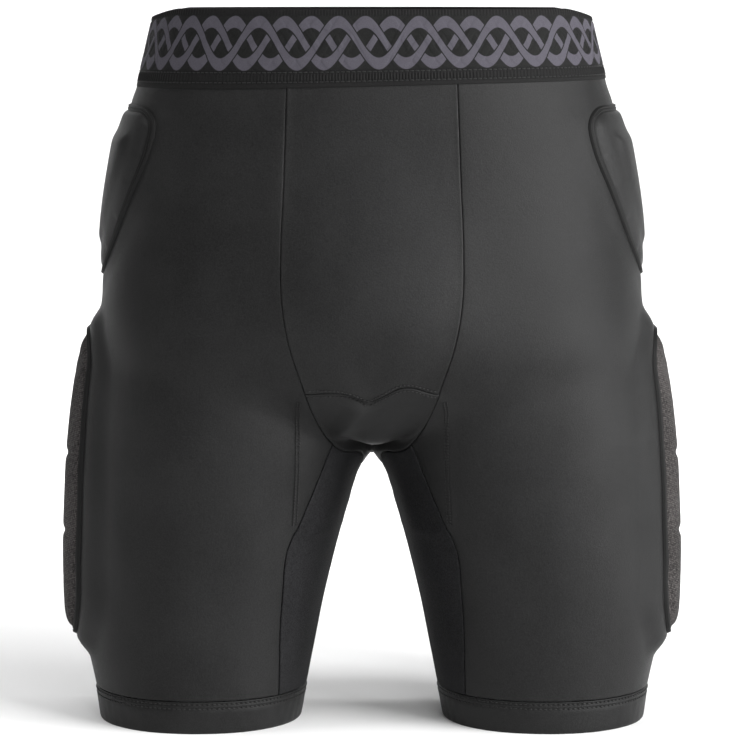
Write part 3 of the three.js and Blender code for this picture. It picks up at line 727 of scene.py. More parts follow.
def patch(left, right, top, bottom, spacing=3.0):
    """A grid of samples between four edges, with each sample's distances to them."""
    height = (left.length + right.length) / 2
    down = spread(height, spacing)
    lines = [edge.at(down) for edge in (left, right)]
    ends = [leg_point(line[:, 0], line[:, 1])[0] for line in lines]
    middle = leg_point((lines[0][:, 0] + lines[1][:, 0]) / 2, (lines[0][:, 1] + lines[1][:, 1]) / 2)[0]
    width = np.linalg.norm(ends[0] - middle, axis=1) + np.linalg.norm(ends[1] - middle, axis=1)
    quarter = np.maximum(width, 8) * 1.06
    across = spread(quarter, spacing)
    v = np.broadcast_to(down[:, None], across.shape)
    u = across[..., None]
    v3 = v[..., None]
    l, r = (edge.at(v) for edge in (left, right))
    t, b = (edge.at(across) for edge in (top, bottom))
    upper, lower = (mix(edge.at(np.array(0.0)), edge.at(np.array(1.0)), u) for edge in (top, bottom))
    chart = mix(l, r, u) + mix(t, b, v3) - mix(upper, lower, v3)
    points, normals = leg_point(chart[..., 0], chart[..., 1])
    return points, normals, distances(across, v, quarter[:, None], height)


def distances(across, down, wide, long):
    """How far each sample of a grid lies from its four edges."""
    return dict(left=across * wide, right=(1 - across) * wide, top=down * long, bottom=(1 - down) * long)


# ---- Pads, as outlines on the body ---------------------------------------------------------------
hip_pad = dict(place=side_point, tape=5.4, low=272, high=376, width=61, middle=lambda z: z * 0 + 2,
               corner=13, rim=12, foam=6.4, swell=1.2, quick=1.0, slot="satin_stretch",
               plate=dict(skirt=0.5, inside=12, bevel=7),
               half=profile([(0, 0.16), (0.06, 0.3), (0.2, 0.5), (0.5, 0.83), (0.8, 1), (0.94, 0.97),
                             (1, 0.84)]))
thigh_pad = dict(place=side_point, low=52, high=240, width=47, middle=lambda z: z * 0 + 20,
                 corner=13, rim=14, foam=5.6, swell=1.6, quick=1.6, slot="coarse_mesh",
                 # deeper: the thigh pad's dark binding widens by this much towards the pad's low end. The
                 # extra dark tape stands partly for the binding and partly for painted shade on the foam's
                 # side wall there.
                 tape=5.0, tape_high=1.8, deeper=2.5,
                 channels=[(163, 1.3, 2.6), (115, 1.3, 2.6)],
                 half=profile([(0, 0.72), (0.07, 0.9), (0.25, 1), (0.75, 0.98), (0.93, 0.84), (1, 0.62)]))
tail_pad = dict(place=back_point, low=242, high=338, width=32, middle=lambda z: z * 0,
                corner=11, rim=11, foam=7, swell=2, slot="satin_stretch",
                half=profile([(0, 0.3), (0.1, 0.5), (0.5, 0.8), (0.85, 1), (1, 0.85)]))
seat_pad = dict(place=back_point, low=210, high=314, width=33, middle=lambda z: 72 + 6 * (z - 210) / 104,
                corner=11, rim=11, foam=7, swell=2, slot="satin_stretch",
                half=profile([(0, 0.6), (0.12, 0.88), (0.5, 1), (0.88, 0.88), (1, 0.6)]))


# ---- Fabric surface ------------------------------------------------------------------------------
LINER_END = 119
LINER_EDGE_POINTS = [(118, 41), (122, 46.5), (127, 48.6), (140, 47.8), (160, 46.8), (198, 46.2), (206, 44.6),
                     (211, 40)]


def liner_edge(z):
    places, values = zip(*LINER_EDGE_POINTS)
    return np.interp(z, places, values)


THIGH_SWELL = 6.2
HIP_SWELL = 1.2
LIPPED = 0.3  # a seam edge that stands above its neighbour
SUNK = -0.2
PUCKER = 0.14


def folds(p):
    """Soft swells, dips and creases of the worn cloth, in mm, the same for every panel."""
    x, y, z = np.moveaxis(p, -1, 0)
    front = smooth((-y - 20) / 30)
    height = 0.30 * broad_waves(p) + 0.10 * middle_waves(p)
    side = np.abs(x)
    lining = liner_edge(z) - side
    liner = front * smooth(lining / 1.6) * smooth((z - LINER_END) / 2) * smooth((214 - z) / 5)
    low_edge = LINER_END + 2.0 * np.cos((side - 20) / 24 * math.pi / 2)
    height = height + 0.9 * liner + 1.0 * hump(z - low_edge, 2.2) * front * smooth(lining / 3)
    seam = crotch_height(np.clip(x, -CROTCH_CORNER, CROTCH_CORNER))
    crease = hump(z - seam + 1.6, 2.4) * hump(x + 8, 15) * front
    hollow = hump(z - seam - 12, 12) * hump(x + 1, 13) * front
    beside = (z - CROTCH_SEAM - x + 4) * 0.7
    below = smooth((seam - z) / 4) * front
    ridge = hump(beside, 4.5) * hump(x + 12, 14) * below
    valley = hump(beside + 11, 6) * hump(x - 2, 13) * below
    height = height - 2.1 * crease - 1.8 * hollow + 2.6 * ridge - 1.6 * valley
    height = height + 4.3 * hump(x, 14) * hump(z - 167, 13)
    return height + pad_swell(side, y, z)


def pad_swell(side, y, z):
    """The legs' cloth rises on to the thigh pads, and a little on to the hip pads."""
    outer = smooth((side - leg_middle(z)) / 20)
    total = 0
    for pad, rise, reach in ((thigh_pad, THIGH_SWELL, 24), (hip_pad, HIP_SWELL, 14)):
        share = np.clip((z - pad["low"]) / (pad["high"] - pad["low"]), 0, 1)
        half = pad["half"](share) * pad["width"]
        across = np.maximum(np.abs(y - pad["middle"](z)) - half, 0)
        above = np.maximum(np.maximum(pad["low"] - z, z - pad["high"]), 0)
        total = total + rise * (1 - smooth(np.hypot(across, above * pad["quick"]) / reach))
    return total * outer


def seam_height(d, lift, width=2.4):
    """A seam edge: its lip is raised or sunk by lift, and the last half millimetre rolls in."""
    return lift * hump(d, width) - 0.5 * hump(d, 0.45)


def cut_size(points):
    """Width, length and area of a worn grid's cloth before it was stretched, in metres."""
    rows = [lengths(row)[-1] for row in points]
    cols = [lengths(points[:, i])[-1] for i in range(0, points.shape[1], 4)]
    cells = np.cross(np.diff(points, axis=0)[:, 1:], np.diff(points, axis=1)[1:])
    area = float(np.linalg.norm(cells, axis=-1).sum())
    return [max(rows) / STRETCH / 1000, max(cols) / STRETCH / 1000, area / STRETCH**2 / 1e6]


def panel(name, grid, lifts, cloth=(SATIN, "satin_stretch")):
    points, normals, away = grid
    height = folds(points)
    ripple = PUCKER * pucker_waves(points)
    for side, lift in lifts.items():
        d = away[side]
        height = height + seam_height(d, lift) + ripple * np.exp(-d / 4.5)
    made = grid_shell(name, points, normals, height, height - FABRIC, *cloth)
    made["cut"] = cut_size(points)
    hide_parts(name)
    return made


def pair(made, name, *nodes):
    twin = mirror_of(made, f"right_{name}")
    if nodes:
        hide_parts(*nodes)
    if "cut" in made:
        twin["cut"] = list(made["cut"])
    return twin


def front_panel_grid():
    down = spread(184.0, 3.0)
    across = spread(2 * front_seam_half(mix(PANEL_TOP, CROTCH_SEAM, down)), 3.0, 34)
    share = 2 * across - 1
    v = np.broadcast_to(down[:, None], across.shape)
    half = front_seam_half(mix(PANEL_TOP, CROTCH_SEAM, v))
    z = mix(PANEL_TOP, crotch_height(share * CROTCH_CORNER), v)
    points, normals = front_point(share * half, z)
    return points, normals, distances(across, v, 2.1 * half, 185)


def under_angle(points):
    return np.degrees(np.arctan2(UNDER_CENTRE - points[..., 2], -points[..., 1]))


def gusset_grid():
    run = lengths(gusset_line)
    long = run[-1]
    down = spread(long, 2.6)
    angles = np.interp(down, run / long, under_angle(gusset_line))
    half = gusset_half(angles)
    across = spread(2 * half, 2.6, 16)
    part = 2 * across - 1
    seam = front_point(part * CROTCH_CORNER, crotch_height(part * CROTCH_CORNER))[0]
    fade = 1 - smooth(down[:, None] / 0.3)
    angle = angles[:, None] + (under_angle(seam) - CORNER_ANGLE) * fade
    points, normals = under_point(angle, part * half[:, None])
    v = np.broadcast_to(down[:, None], across.shape)
    return points, normals, distances(across, v, 2 * half[:, None], long)


front_panel = panel("front_panel", front_panel_grid(), dict(left=LIPPED, right=LIPPED, bottom=0.25, top=0))
gusset = panel("crotch_gusset", gusset_grid(), dict(left=LIPPED, right=LIPPED, top=0.25, bottom=0))

leg_edge = Edge(np.concatenate([front_seam, gusset_front[1:], mesh_front[1:]]))
back_edge = Edge(straight(BACK_SEAM_ANGLE, BACK_SEAM_ANGLE, PANEL_TOP, HEM_SEAM))
leg_top = Edge(straight(leg_edge.chart[0, 0], BACK_SEAM_ANGLE, PANEL_TOP, PANEL_TOP))
leg_bottom = Edge(straight(leg_edge.chart[-1, 0], BACK_SEAM_ANGLE, HEM_SEAM, HEM_SEAM))
leg_panel = panel("left_leg_panel", patch(leg_edge, back_edge, leg_top, leg_bottom),
                  dict(left=SUNK, right=SUNK, top=0, bottom=0))
panels = [front_panel, gusset, leg_panel, pair(leg_panel, "leg_panel", "right_leg_panel")]

mesh_bottom = Edge(straight(leg_chart(mesh_front[-1])[0], MESH_REAR_ANGLE, HEM_SEAM, HEM_SEAM))
mesh_panel = panel("left_inner_thigh_mesh",
                   patch(Edge(mesh_front), Edge(mesh_rear), Edge(gusset_under), mesh_bottom),
                   dict(left=LIPPED, right=LIPPED, top=0, bottom=0), (KNIT, "fine_mesh"))
panels += [mesh_panel, pair(mesh_panel, "inner_thigh_mesh", "right_inner_thigh_mesh")]

turn = BACK_SEAM_ANGLE + 90
centre_z = np.linspace(PANEL_TOP, gusset_rear[-1, 2], 130)
centre = back_point(np.zeros(130), centre_z)[0]
back_inner = Edge(np.concatenate([centre, gusset_rear[::-1], mesh_rear[1:]]), turn)
full_turn = (back_inner.chart[0, 0], MESH_REAR_ANGLE + 360)
back_top = Edge(straight(BACK_SEAM_ANGLE, full_turn[0], PANEL_TOP, PANEL_TOP), turn)
back_bottom = Edge(straight(BACK_SEAM_ANGLE, full_turn[1], HEM_SEAM, HEM_SEAM), turn)
back_panel = panel("left_back_panel", patch(back_edge, back_inner, back_top, back_bottom),
                   dict(left=LIPPED, right=0.0, top=0, bottom=0))
panels += [back_panel, pair(back_panel, "back_panel", "right_back_panel")]


# ---- Seam allowances, inside --------------------------------------------------------------------
def allowance(name, line, half=2.6):
    """A folded strip behind a seam, which closes the gap between its panels."""
    normals = normal_at(line)
    along = np.gradient(line, axis=0)
    aside = np.cross(normals, along)
    aside /= np.linalg.norm(aside, axis=1, keepdims=True)
    offsets = np.array([-1.0, -0.5, 0.0, 0.5, 1.0]) * half
    points = line[:, None] + aside[:, None] * offsets[None, :, None]
    normals = np.broadcast_to(normals[:, None], points.shape)
    height = folds(np.broadcast_to(line[:, None], points.shape)) - FABRIC
    return grid_shell(name, points, normals, height - 0.12, height - 0.42, SATIN, "satin_stretch")


seam_lines = {"front_seam": front_seam, "gusset_seam": gusset_line, "inner_mesh_seam": mesh_front,
              "rear_mesh_seam": mesh_rear, "back_side_seam": back_edge.points}
for seam_name, line in seam_lines.items():
    pair(allowance(f"left_{seam_name}_allowance", line), f"{seam_name}_allowance")
allowance("centre_back_seam_allowance", centre)


# ---- Crotch liners, inside -----------------------------------------------------------------------
def liner_grid():
    bottom = INSIDE_LEG - 50
    under = gusset_under[-1, 2]
    rear = leg_point(np.full(30, MESH_REAR_ANGLE), np.linspace(under, bottom, 30))[0]
    right = Edge(np.concatenate([gusset_front, gusset_under[1:], rear[1:]]))
    z = np.linspace(CROTCH_SEAM, bottom, 80)
    left = Edge(front_point(liner_edge(z), z, MID)[0])
    top_x = np.linspace(liner_edge(CROTCH_SEAM), CROTCH_CORNER, 12)
    top = Edge(front_point(top_x, np.full(12, CROTCH_SEAM), MID)[0])
    low = Edge(straight(left.chart[-1, 0], MESH_REAR_ANGLE, bottom, bottom))
    return patch(left, right, top, low, 4.0)


points, normals, away = liner_grid()
height = folds(points) - FABRIC - 0.5
left_liner = grid_shell("left_crotch_liner", points, normals, height, height - 0.8, KNIT, "fine_mesh")
left_liner["cut"] = cut_size(points)
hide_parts("left_crotch_liner")
right_liner = pair(left_liner, "crotch_liner", "right_crotch_liner")


# ---- Stitches ------------------------------------------------------------------------------------
def capsule():
    """A unit thread stitch along x, flattened underneath."""
    rings = [(-1.0, 0.35), (-0.8, 0.8), (-0.35, 1.0), (0.35, 1.0), (0.8, 0.8), (1.0, 0.35)]
    turns = np.arange(6) * math.pi / 3
    points = [[along, math.cos(t) * size, math.sin(t) * size] for along, size in rings for t in turns]
    faces = [[r * 6 + k, r * 6 + (k + 1) % 6, (r + 1) * 6 + (k + 1) % 6, (r + 1) * 6 + k]
             for r in range(5) for k in range(6)]
    faces.append(list(range(5, -1, -1)))
    faces.append([30 + k for k in range(6)])
    return np.array(points), faces


CAPSULE, CAPSULE_FACES = capsule()


def stitches(name, rows, long=2.1, gap=0.7, thick=0.36, proud=0.2):
    """Thread stitches along rows of (points, normals), as one piece."""
    points = []
    for line, normals in rows:
        run = lengths(line)
        count = max(2, round(run[-1] / (long + gap)))
        share = (np.arange(count) + 0.5) * run[-1] / count
        centre = sampled(share, run, line)
        up = sampled(share, run, normals)
        forward = sampled(share + 0.4, run, line) - sampled(share - 0.4, run, line)
        forward /= np.linalg.norm(forward, axis=1, keepdims=True)
        aside = np.cross(up, forward)
        aside /= np.linalg.norm(aside, axis=1, keepdims=True)
        up = np.cross(forward, aside)
        size = CAPSULE * [long / 2, thick, thick * 0.8]
        points.append((centre + up * proud)[:, None] + size[:, :1] * forward[:, None] + size[:, 1:2]
                      * aside[:, None] + size[:, 2:] * up[:, None])
    points = np.concatenate(points)
    count = len(points)
    faces = [[index + k * len(CAPSULE) for index in face] for k in range(count) for face in CAPSULE_FACES]
    corner_count = sum(len(face) for face in faces)
    return new_object(name, points.reshape(-1, 3), faces, THREAD, "thread", np.zeros((corner_count, 2)), 70)


def lifted(points, normals, extra=0.0):
    return points + normals * (folds(points)[..., None] + extra), normals


x = np.linspace(-1, 1, 140) * (CROTCH_CORNER - 1.5)
crotch_rows = [lifted(*front_point(x, crotch_height(x) + side * STITCH_ROW / 2), 0.15) for side in (-1, 1)]
crotch_stitch = stitches("crotch_coverstitch", crotch_rows, 1.5, 0.9, 0.5, 0.2)
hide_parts("crotch_coverstitch")


# ---- Hems ----------------------------------------------------------------------------------------
def hem():
    angles = np.arange(360) * 1.0
    heights = np.concatenate([[0.0, 0.25, 0.8, 1.6], np.linspace(3, 14.5, 8), np.linspace(15.2, 18.8, 7),
                              [19.2, 19.5, 19.75]])
    points, normals = leg_point(*np.broadcast_arrays(angles[None], heights[:, None]))
    normals = level(normals)
    z = heights[:, None]
    height = folds(points) + 0.08 * pucker_waves(points) - 0.6 * hump(z, 0.7) - 0.5 * hump(z - 19.9, 0.5)
    height = height - 0.45 * hump(z - 18.4, 0.6) - 0.45 * hump(z - 15.6, 0.6) + 0.35 * smooth((19 - z) / 4)
    inner = height - HEM_THICKNESS + 1.0 * hump(z, 0.7)
    made = grid_shell("left_hem_band", points, normals, height, inner, SATIN, "satin_stretch", ring=True)
    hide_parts("left_hem_band")
    made["cut"] = cut_size(np.concatenate([points, points[:, :1]], axis=1))
    rows = []
    for z in (15.6, 18.4):
        line, up = leg_point(np.arange(0, 360.5, 1.0), np.full(361, z))
        rows.append(lifted(line, level(up), -0.15))
    thread = stitches("left_hem_coverstitch", rows, 2.0, 1.0, 0.5, 0.3)
    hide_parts("left_hem_coverstitch")
    return made, thread


left_hem, left_hem_thread = hem()
right_hem = pair(left_hem, "hem_band", "right_hem_band")
pair(left_hem_thread, "hem_coverstitch", "right_hem_coverstitch")

# Liner stitches: twin dotted rows beside the liner's front edge.
z = np.linspace(205, 127, 90)
liner_rows = [lifted(*front_point(liner_edge(z) - aside, z, MID), 0.1) for aside in (1.2, 3.0)]
liner_stitch = stitches("left_liner_stitch", liner_rows, 1.2, 0.8, 0.5, 0.2)
pair(liner_stitch, "liner_stitch")


# ---- Waistband -----------------------------------------------------------------------------------
def band_height(angle, up):
    """The worn band sits a little lower on the wearer's right, and its top rolls down at the sides."""
    side = np.sin(np.radians(angle))
    tilt = (2.6 * side - 1.2) * (1 - up / BAND_HEIGHT) ** 2
    drop = 5.2 * np.clip((np.abs(side) - 0.90) / 0.10, 0, 1) ** 1.4 - 0.9
    return WAIST_SEAM + up + tilt - drop * (up / BAND_HEIGHT) ** 2.5


def waistband():
    heights = np.concatenate([[0.3, 0.6], np.linspace(1.2, 7.0, 9), np.linspace(7.7, 38.6, 46),
                              np.linspace(39.2, 42.4, 7), [42.75, 42.95, BAND_HEIGHT]])
    up = heights[:, None]
    angles = band_angles[None]
    points, normals = waist_point(*np.broadcast_arrays(angles, band_height(angles, up)))
    normals = level(normals)
    along = np.broadcast_to(band_angles / 360, points.shape[:2])
    low_ribs = smooth((8.2 - up) / 0.8) * smooth((up - 3.4) / 0.8)
    high_ribs = smooth((up - 39.2) / 1.0)
    ribs = (0.24 * low_ribs + 0.2 * high_ribs) * np.sin(2 * math.pi * 360 * along)
    lines = -0.4 * hump(up - 8.6, 0.5) - 0.3 * hump(up - 39.0, 0.45) - 0.4 * hump(up - 3.4, 0.5)
    edge = -0.7 * hump(up - 43.2, 0.5) - 0.5 * hump(up, 0.6)
    relief = 0.26 * braid_height(along, up)
    height = ELASTIC_HALF + ribs + lines + edge + relief - 0.25 + 0.25 * broad_waves(points)
    inner = -ELASTIC_HALF - 0.2 + 0.25 * broad_waves(points) + 0.6 * hump(up - 43.2, 0.5)
    line = np.concatenate([band_line, band_line[:1]])
    across = np.broadcast_to(lengths(line), (len(heights), 1441))
    coordinates = np.stack([across, np.broadcast_to(up, across.shape)], axis=-1)
    made = grid_shell("waistband", points, normals, height, inner, ELASTIC, "elastic", ring=True,
                      coordinates=coordinates)
    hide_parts("waistband")
    flat_length = band_length / BAND_STRETCH / 1000
    made["cut"] = [flat_length, BAND_HEIGHT / 1000, flat_length * BAND_HEIGHT / 1000]
    rows = []
    for z in (3.4, 8.6):
        turn = np.arange(0, 360.3, 0.5)
        line, out = waist_point(turn, band_height(turn, z))
        out = level(out)
        rows.append((line + out * (ELASTIC_HALF + 0.25 * broad_waves(line)[:, None] - 0.35), out))
    thread = stitches("waistband_coverstitch", rows, 2.3, 0.8, 0.38)
    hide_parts("waistband_coverstitch")
    return made


band = waistband()


def care_label():
    x = np.linspace(-18, 18, 25)
    rows = np.linspace(0, 26, 19)[:, None]
    point = back_point(x, np.full(25, TOTAL_HEIGHT - 21.5))[0]
    points = stack(x[None], point[None, :, 1], TOTAL_HEIGHT - 8 - rows)
    bend = 0.5 * np.sin(rows / 26 * math.pi) * np.cos(x / 18 * 1.4)[None]
    normals = np.broadcast_to([0.0, 1, 0], points.shape)
    face = -ELASTIC_HALF - 2.2 - bend
    made = grid_shell("care_label", points, normals, face, face - 0.4, LABEL, "label")
    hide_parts("care_label")


care_label()


# ---- Pads ----------------------------------------------------------------------------------------
def pad_outline(pad, radius, spacing=1.5):
    """The pad's outline, with rounded corners, as evenly spaced (across, height) points."""
    z = np.linspace(pad["low"], pad["high"], 160)
    half = pad["half"]((z - pad["low"]) / (pad["high"] - pad["low"])) * pad["width"]
    middle = pad["middle"](z)
    right = np.stack([middle + half, z], axis=1)
    left = np.stack([middle - half, z], axis=1)[::-1]
    loop = np.concatenate([right, left])
    loop = even_loop(loop, 1.0)
    count = max(3, round(radius))
    kernel = np.hanning(2 * count + 3)[1:-1]
    kernel /= kernel.sum()
    wrapped = np.concatenate([loop[-len(kernel):], loop, loop[:len(kernel)]])
    soft = np.stack([np.convolve(wrapped[:, k], kernel, mode="same") for k in range(2)], axis=1)
    return even_loop(soft[len(kernel):-len(kernel)], spacing)


def even_loop(loop, spacing):
    closed = np.concatenate([loop, loop[:1]])
    run = lengths(closed)
    count = round(run[-1] / spacing)
    at = np.arange(count) * run[-1] / count
    return sampled(at, run, closed)


def inward(loop):
    tangent = np.roll(loop, -1, axis=0) - np.roll(loop, 1, axis=0)
    tangent /= np.linalg.norm(tangent, axis=1, keepdims=True)
    return np.stack([-tangent[:, 1], tangent[:, 0]], axis=1)


def distance_to(loop, points):
    a = loop[None]
    b = np.roll(loop, -1, axis=0)[None]
    p = points[:, None]
    along = np.clip(np.sum((p - a) * (b - a), axis=2) / np.sum((b - a) ** 2, axis=2), 0, 1)
    return np.linalg.norm(p - a - along[..., None] * (b - a), axis=2).min(axis=1)


def cushion(name, pad, foot, spacing=3.2):
    """A closed pad: a domed top over the outline and a flat underside, puffed by a cloth simulation."""
    outline = pad_outline(pad, pad["corner"], spacing)
    outline = even_loop(outline + inward(outline) * foot, spacing)
    low = outline.min(axis=0)
    high = outline.max(axis=0)
    rows = np.arange(low[1], high[1], spacing * 0.866)
    across = np.arange(low[0], high[0], spacing)
    grid = np.array([(x + (k % 2) * spacing / 2, z) for k, z in enumerate(rows) for x in across])
    inside = points_inside(outline, grid) & (distance_to(outline, grid) > spacing * 0.55)
    flat = np.concatenate([outline, grid[inside]])
    count = len(outline)
    ring = [(k, (k + 1) % count) for k in range(count)]
    vertices, _, triangles, _, _, _ = delaunay_2d_cdt([Vector(p) for p in flat], ring, [], 1, 1e-6)
    flat = np.array([list(v) for v in vertices])
    away = distance_to(outline, flat)
    away[:count] = 0
    points, normals = pad["place"](flat[:, 0], flat[:, 1])
    rim = np.clip(away / pad["rim"], 0, 1)
    rise = pad["foam"] * np.sqrt(1 - (1 - rim) ** 2)
    plate = pad.get("plate")
    if plate:
        step = smooth((away - plate["inside"]) / plate["bevel"])
        rise = plate["skirt"] * rise + (1 - plate["skirt"]) * pad["foam"] * step
    base = folds(points)
    top = points + normals * (base + 0.9 + rise)[:, None]
    bottom = points + normals * (base + 0.15)[:, None]
    total = len(flat)
    faces = [list(t) for t in triangles] + [[total + k for k in reversed(t)] for t in triangles]
    faces += [[a, total + a, total + b, b] for a, b in ring]
    if volume_of_triangles(np.concatenate([top, bottom]), faces) < 0:
        faces = [face[::-1] for face in faces]
    corners = np.concatenate([flat, flat])
    coordinates = corners[np.concatenate([np.array(face) for face in faces])]
    material = OPEN_MESH if pad["slot"] == "coarse_mesh" else PAD_SATIN
    made = new_object(name, np.concatenate([top, bottom]), faces, material, pad["slot"], coordinates, 60)
    held = [k for k in range(total) if away[k] < 0.1] + list(range(total, 2 * total))
    puff(made, held, pad["swell"])
    finish_cushion(made, pad)
    return made


def points_inside(loop, points):
    inside = np.zeros(len(points), bool)
    for a, b in zip(loop, np.roll(loop, -1, axis=0)):
        crosses = (a[1] > points[:, 1]) != (b[1] > points[:, 1])
        with np.errstate(divide="ignore", invalid="ignore"):
            at = (b[0] - a[0]) * (points[:, 1] - a[1]) / (b[1] - a[1]) + a[0]
        inside ^= crosses & (points[:, 0] < at)
    return inside


def volume_of_triangles(points, faces):
    total = 0.0
    for face in faces:
        a = points[face[0]]
        for k in range(1, len(face) - 1):
            total += float(np.dot(a, np.cross(points[face[k]], points[face[k + 1]])))
    return total


PUFF_FRAMES = 20
PUFF_CLOTH = dict(quality=6, mass=0.25, tension_stiffness=12, compression_stiffness=12, shear_stiffness=6,
                  bending_stiffness=0.4, use_pressure=True, uniform_pressure_force=40,
                  vertex_group_mass="held")


def puff(made, held, cap):
    """Inflates a closed pad with Cloth, keeping the held points and capping how far the others move."""
    scene = bpy.context.scene
    group = made.vertex_groups.new(name="held")
    group.add(held, 1.0, "REPLACE")
    cloth = made.modifiers.new("Cloth", "CLOTH")
    for setting, value in PUFF_CLOTH.items():
        setattr(cloth.settings, setting, value)
    cloth.settings.effector_weights.gravity = 0
    cloth.collision_settings.use_collision = False
    cloth.point_cache.frame_start = 1
    cloth.point_cache.frame_end = PUFF_FRAMES
    start = coordinates_of(made.data)
    for frame_number in range(1, PUFF_FRAMES + 1):
        scene.frame_set(frame_number)
    shape = made.evaluated_get(bpy.context.evaluated_depsgraph_get()).to_mesh()
    moved = coordinates_of(shape) - start
    made.modifiers.remove(cloth)
    made.vertex_groups.remove(group)
    scene.frame_set(1)
    distance = np.linalg.norm(moved, axis=1, keepdims=True) + 1e-12
    moved *= np.minimum(1, cap / 1000 / distance)
    made.data.vertices.foreach_set("co", (start + moved).ravel())
    made.data.update()


def finish_cushion(made, pad):
    """One subdivision, then the sewn channels."""
    subdivision = made.modifiers.new("Subdivision", "SUBSURF")
    subdivision.levels = 1
    subdivision.render_levels = 1
    shape = bpy.data.meshes.new_from_object(made.evaluated_get(bpy.context.evaluated_depsgraph_get()))
    made.modifiers.remove(subdivision)
    old = made.data
    made.data = shape
    shape.name = made.name
    bpy.data.meshes.remove(old)
    if not pad.get("channels"):
        return
    points = coordinates_of(shape)
    normals = np.empty(len(points) * 3)
    shape.vertices.foreach_get("normal", normals)
    normals = normals.reshape(-1, 3)
    for z, depth, width in pad["channels"]:
        cut = depth * hump(points[:, 2] * 1000 - z, width) * np.clip(normals[:, 0], 0, 1)
        points -= normals * cut[:, None] / 1000
    shape.vertices.foreach_set("co", points.ravel())
    shape.update()


def binding(name, pad, ridges=3):
    """A flat tape round the pad's outline, with fine ridges along it."""
    outline = pad_outline(pad, pad["corner"], 1.4)
    inner = inward(outline)
    shares = np.linspace(0, 1, 17)
    # Towards the low end the tape widens by pad['deeper']. The wider dark tape stands partly for the binding
    # and partly for painted shade on the foam's side wall.
    low_end = smooth((pad["low"] + 56 - outline[:, 1:]) / 16)
    wide = pad.get("tape", BINDING_WIDTH) + pad.get("deeper", 0) * low_end
    loops = np.array([outline + inner * (share * wide) for share in shares])
    points, normals = pad["place"](loops[..., 0], loops[..., 1])
    edge = np.minimum(shares, 1 - shares)[:, None]
    crown = pad.get("tape_high", 1.3) * (1 - (1 - np.clip(edge / 0.2, 0, 1)) ** 2)
    lines = 0.24 * np.cos(2 * math.pi * shares[:, None] * ridges) * smooth(edge / 0.1)
    height = folds(points) + 0.1 + crown - lines + 0.05 * pucker_waves(points)
    return grid_shell(name, points, normals, height, folds(points) + 0.02, BINDING, "binding", ring=True)


def sewn_pad(name, pad, foam, sides=("left_", "right_")):
    """A cover that stands for itself and its foam, and its binding, on one side or on both."""
    covers = [cushion(f"{sides[0]}{name}_cover", pad, PAD_INSET)]
    tapes = [binding(f"{sides[0]}{name}_binding", pad)]
    for side in sides[1:]:
        covers.append(mirror_of(covers[0], f"{side}{name}_cover"))
        tapes.append(mirror_of(tapes[0], f"{side}{name}_binding"))
    for side, cover, tape in zip(sides, covers, tapes):
        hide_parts(f"{side}{name}_cover", *[f"{side}{part}" for part in foam])
        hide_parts(f"{side}{name}_binding")


sewn_pad("hip_pad", hip_pad, ["hip_pad_core"])
sewn_pad("seat_pad", seat_pad, ["seat_pad_core"])
sewn_pad("tail_pad", tail_pad, ["tail_pad_core"], sides=("",))
sewn_pad("thigh_pad", thigh_pad, ["thigh_foam_lower", "thigh_foam_middle", "thigh_foam_upper"])

resting = {"front_panel": ["waistband"], "crotch_gusset": ["front_panel"]}
for side in ("left", "right"):
    for name in ("leg_panel", "inner_thigh_mesh", "back_panel"):
        resting[f"{side}_{name}"] = [f"{side}_hem_band"]
    resting[f"{side}_crotch_liner"] = [f"{side}_inner_thigh_mesh"]
    resting[f"{side}_hem_band"] = [f"{side}_leg_panel"]
resting["waistband"] = ["left_leg_panel", "right_leg_panel"]
for piece in [*panels, left_liner, right_liner, left_hem, right_hem, band]:
    wide, long, area = piece["cut"]
    rests_on = resting[piece.name.removesuffix("_sewn")]
    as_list(rests_on)

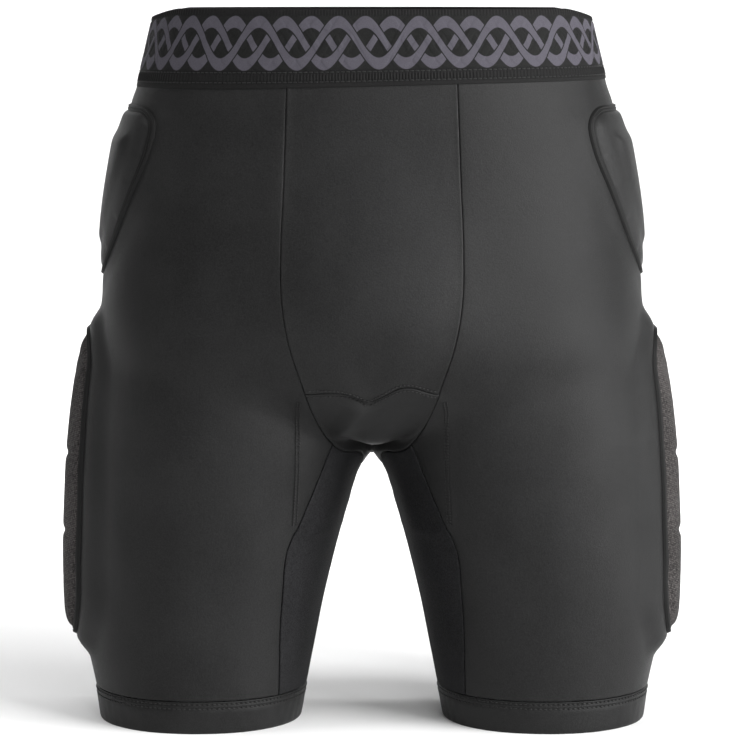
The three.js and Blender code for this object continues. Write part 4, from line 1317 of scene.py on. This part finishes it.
# ---- Studio --------------------------------------------------------------------------------------
def studio():
    """A pale floor that curves up into a pale wall."""
    bend = np.radians(np.linspace(0, 90, 13))
    reach = 12.0
    wall = 3.9
    wall_height = 5.0
    radius = 0.8
    line = [(-reach, 0.0), (wall, 0.0)]
    line += [(wall + radius * math.sin(a), radius * (1 - math.cos(a))) for a in bend[1:]]
    line.append((wall + radius, wall_height))
    points = [(x, y, z) for y, z in line for x in (-reach, reach)]
    faces = [(2 * k, 2 * k + 1, 2 * k + 3, 2 * k + 2) for k in range(len(line) - 1)]
    mesh = bpy.data.meshes.new("studio_floor")
    mesh.from_pydata(points, [], faces)
    for face in mesh.polygons:
        face.use_smooth = True
    floor = bpy.data.objects.new("studio_floor", mesh)
    bpy.context.scene.collection.objects.link(floor)
    paper = bpy.data.materials.new("studio_paper")
    paper.use_nodes = True
    shader = paper.node_tree.nodes["Principled BSDF"]
    shader.inputs["Roughness"].default_value = 0.9
    shader.inputs["Specular IOR Level"].default_value = 0.1
    noise = paper.node_tree.nodes.new("ShaderNodeTexNoise")
    noise.inputs["Scale"].default_value = 3
    ramp = paper.node_tree.nodes.new("ShaderNodeValToRGB")
    ramp.color_ramp.elements[0].color = (0.9, 0.9, 0.9, 1)
    ramp.color_ramp.elements[1].color = (0.93, 0.93, 0.93, 1)
    paper.node_tree.links.new(noise.outputs["Fac"], ramp.inputs[0])
    paper.node_tree.links.new(ramp.outputs[0], shader.inputs["Base Color"])
    mesh.materials.append(paper)


def aim(thing, target):
    direction = Vector(target) - thing.location
    thing.rotation_euler = direction.to_track_quat("-Z", "Y").to_euler()


def softbox(name, place, target, size, power):
    light = bpy.data.lights.new(name, "AREA")
    light.shape = "RECTANGLE"
    light.size, light.size_y = size
    light.energy = power
    made = bpy.data.objects.new(name, light)
    made.location = place
    bpy.context.scene.collection.objects.link(made)
    aim(made, target)


studio()


def turned(azimuth, elevation, away=2.4):
    """A place round the object, from 0 degrees in front by way of the wearer's left."""
    turn = math.radians(azimuth)
    rise = math.radians(elevation)
    return (away * math.sin(turn) * math.cos(rise), -away * math.cos(turn) * math.cos(rise),
            0.22 + away * (math.sin(rise) + 0.06))


BODY = (0.0, 0.0, 0.22)
SOFTBOX = (0.9, 1.2)
softbox("key_softbox", turned(70, 5), BODY, SOFTBOX, 73)
softbox("high_softbox", turned(40, 40), BODY, SOFTBOX, 45)
softbox("front_softbox", turned(15, 5), BODY, SOFTBOX, 24)
softbox("right_softbox", turned(-70, 40), BODY, SOFTBOX, 20)
softbox("wall_light", (0.0, 1.0, 2.4), (0.0, 4.0, 0.7), (4.0, 0.8), 170)
world = bpy.data.worlds.new("studio_world")
world.use_nodes = True
world.node_tree.nodes["Background"].inputs["Color"].default_value = (1, 1, 1, 1)
world.node_tree.nodes["Background"].inputs["Strength"].default_value = 0.16
bpy.context.scene.world = world
bpy.context.scene.view_settings.view_transform = "Standard"

camera_data = bpy.data.cameras.new("camera")
camera_data.lens = 179.9
camera_data.sensor_width = 36
camera = bpy.data.objects.new("camera", camera_data)
camera.location = (-0.0012, -2.264, 0.450)
aim(camera, (-0.0012, -0.014, 0.2133))
bpy.context.scene.collection.objects.link(camera)
bpy.context.scene.camera = camera
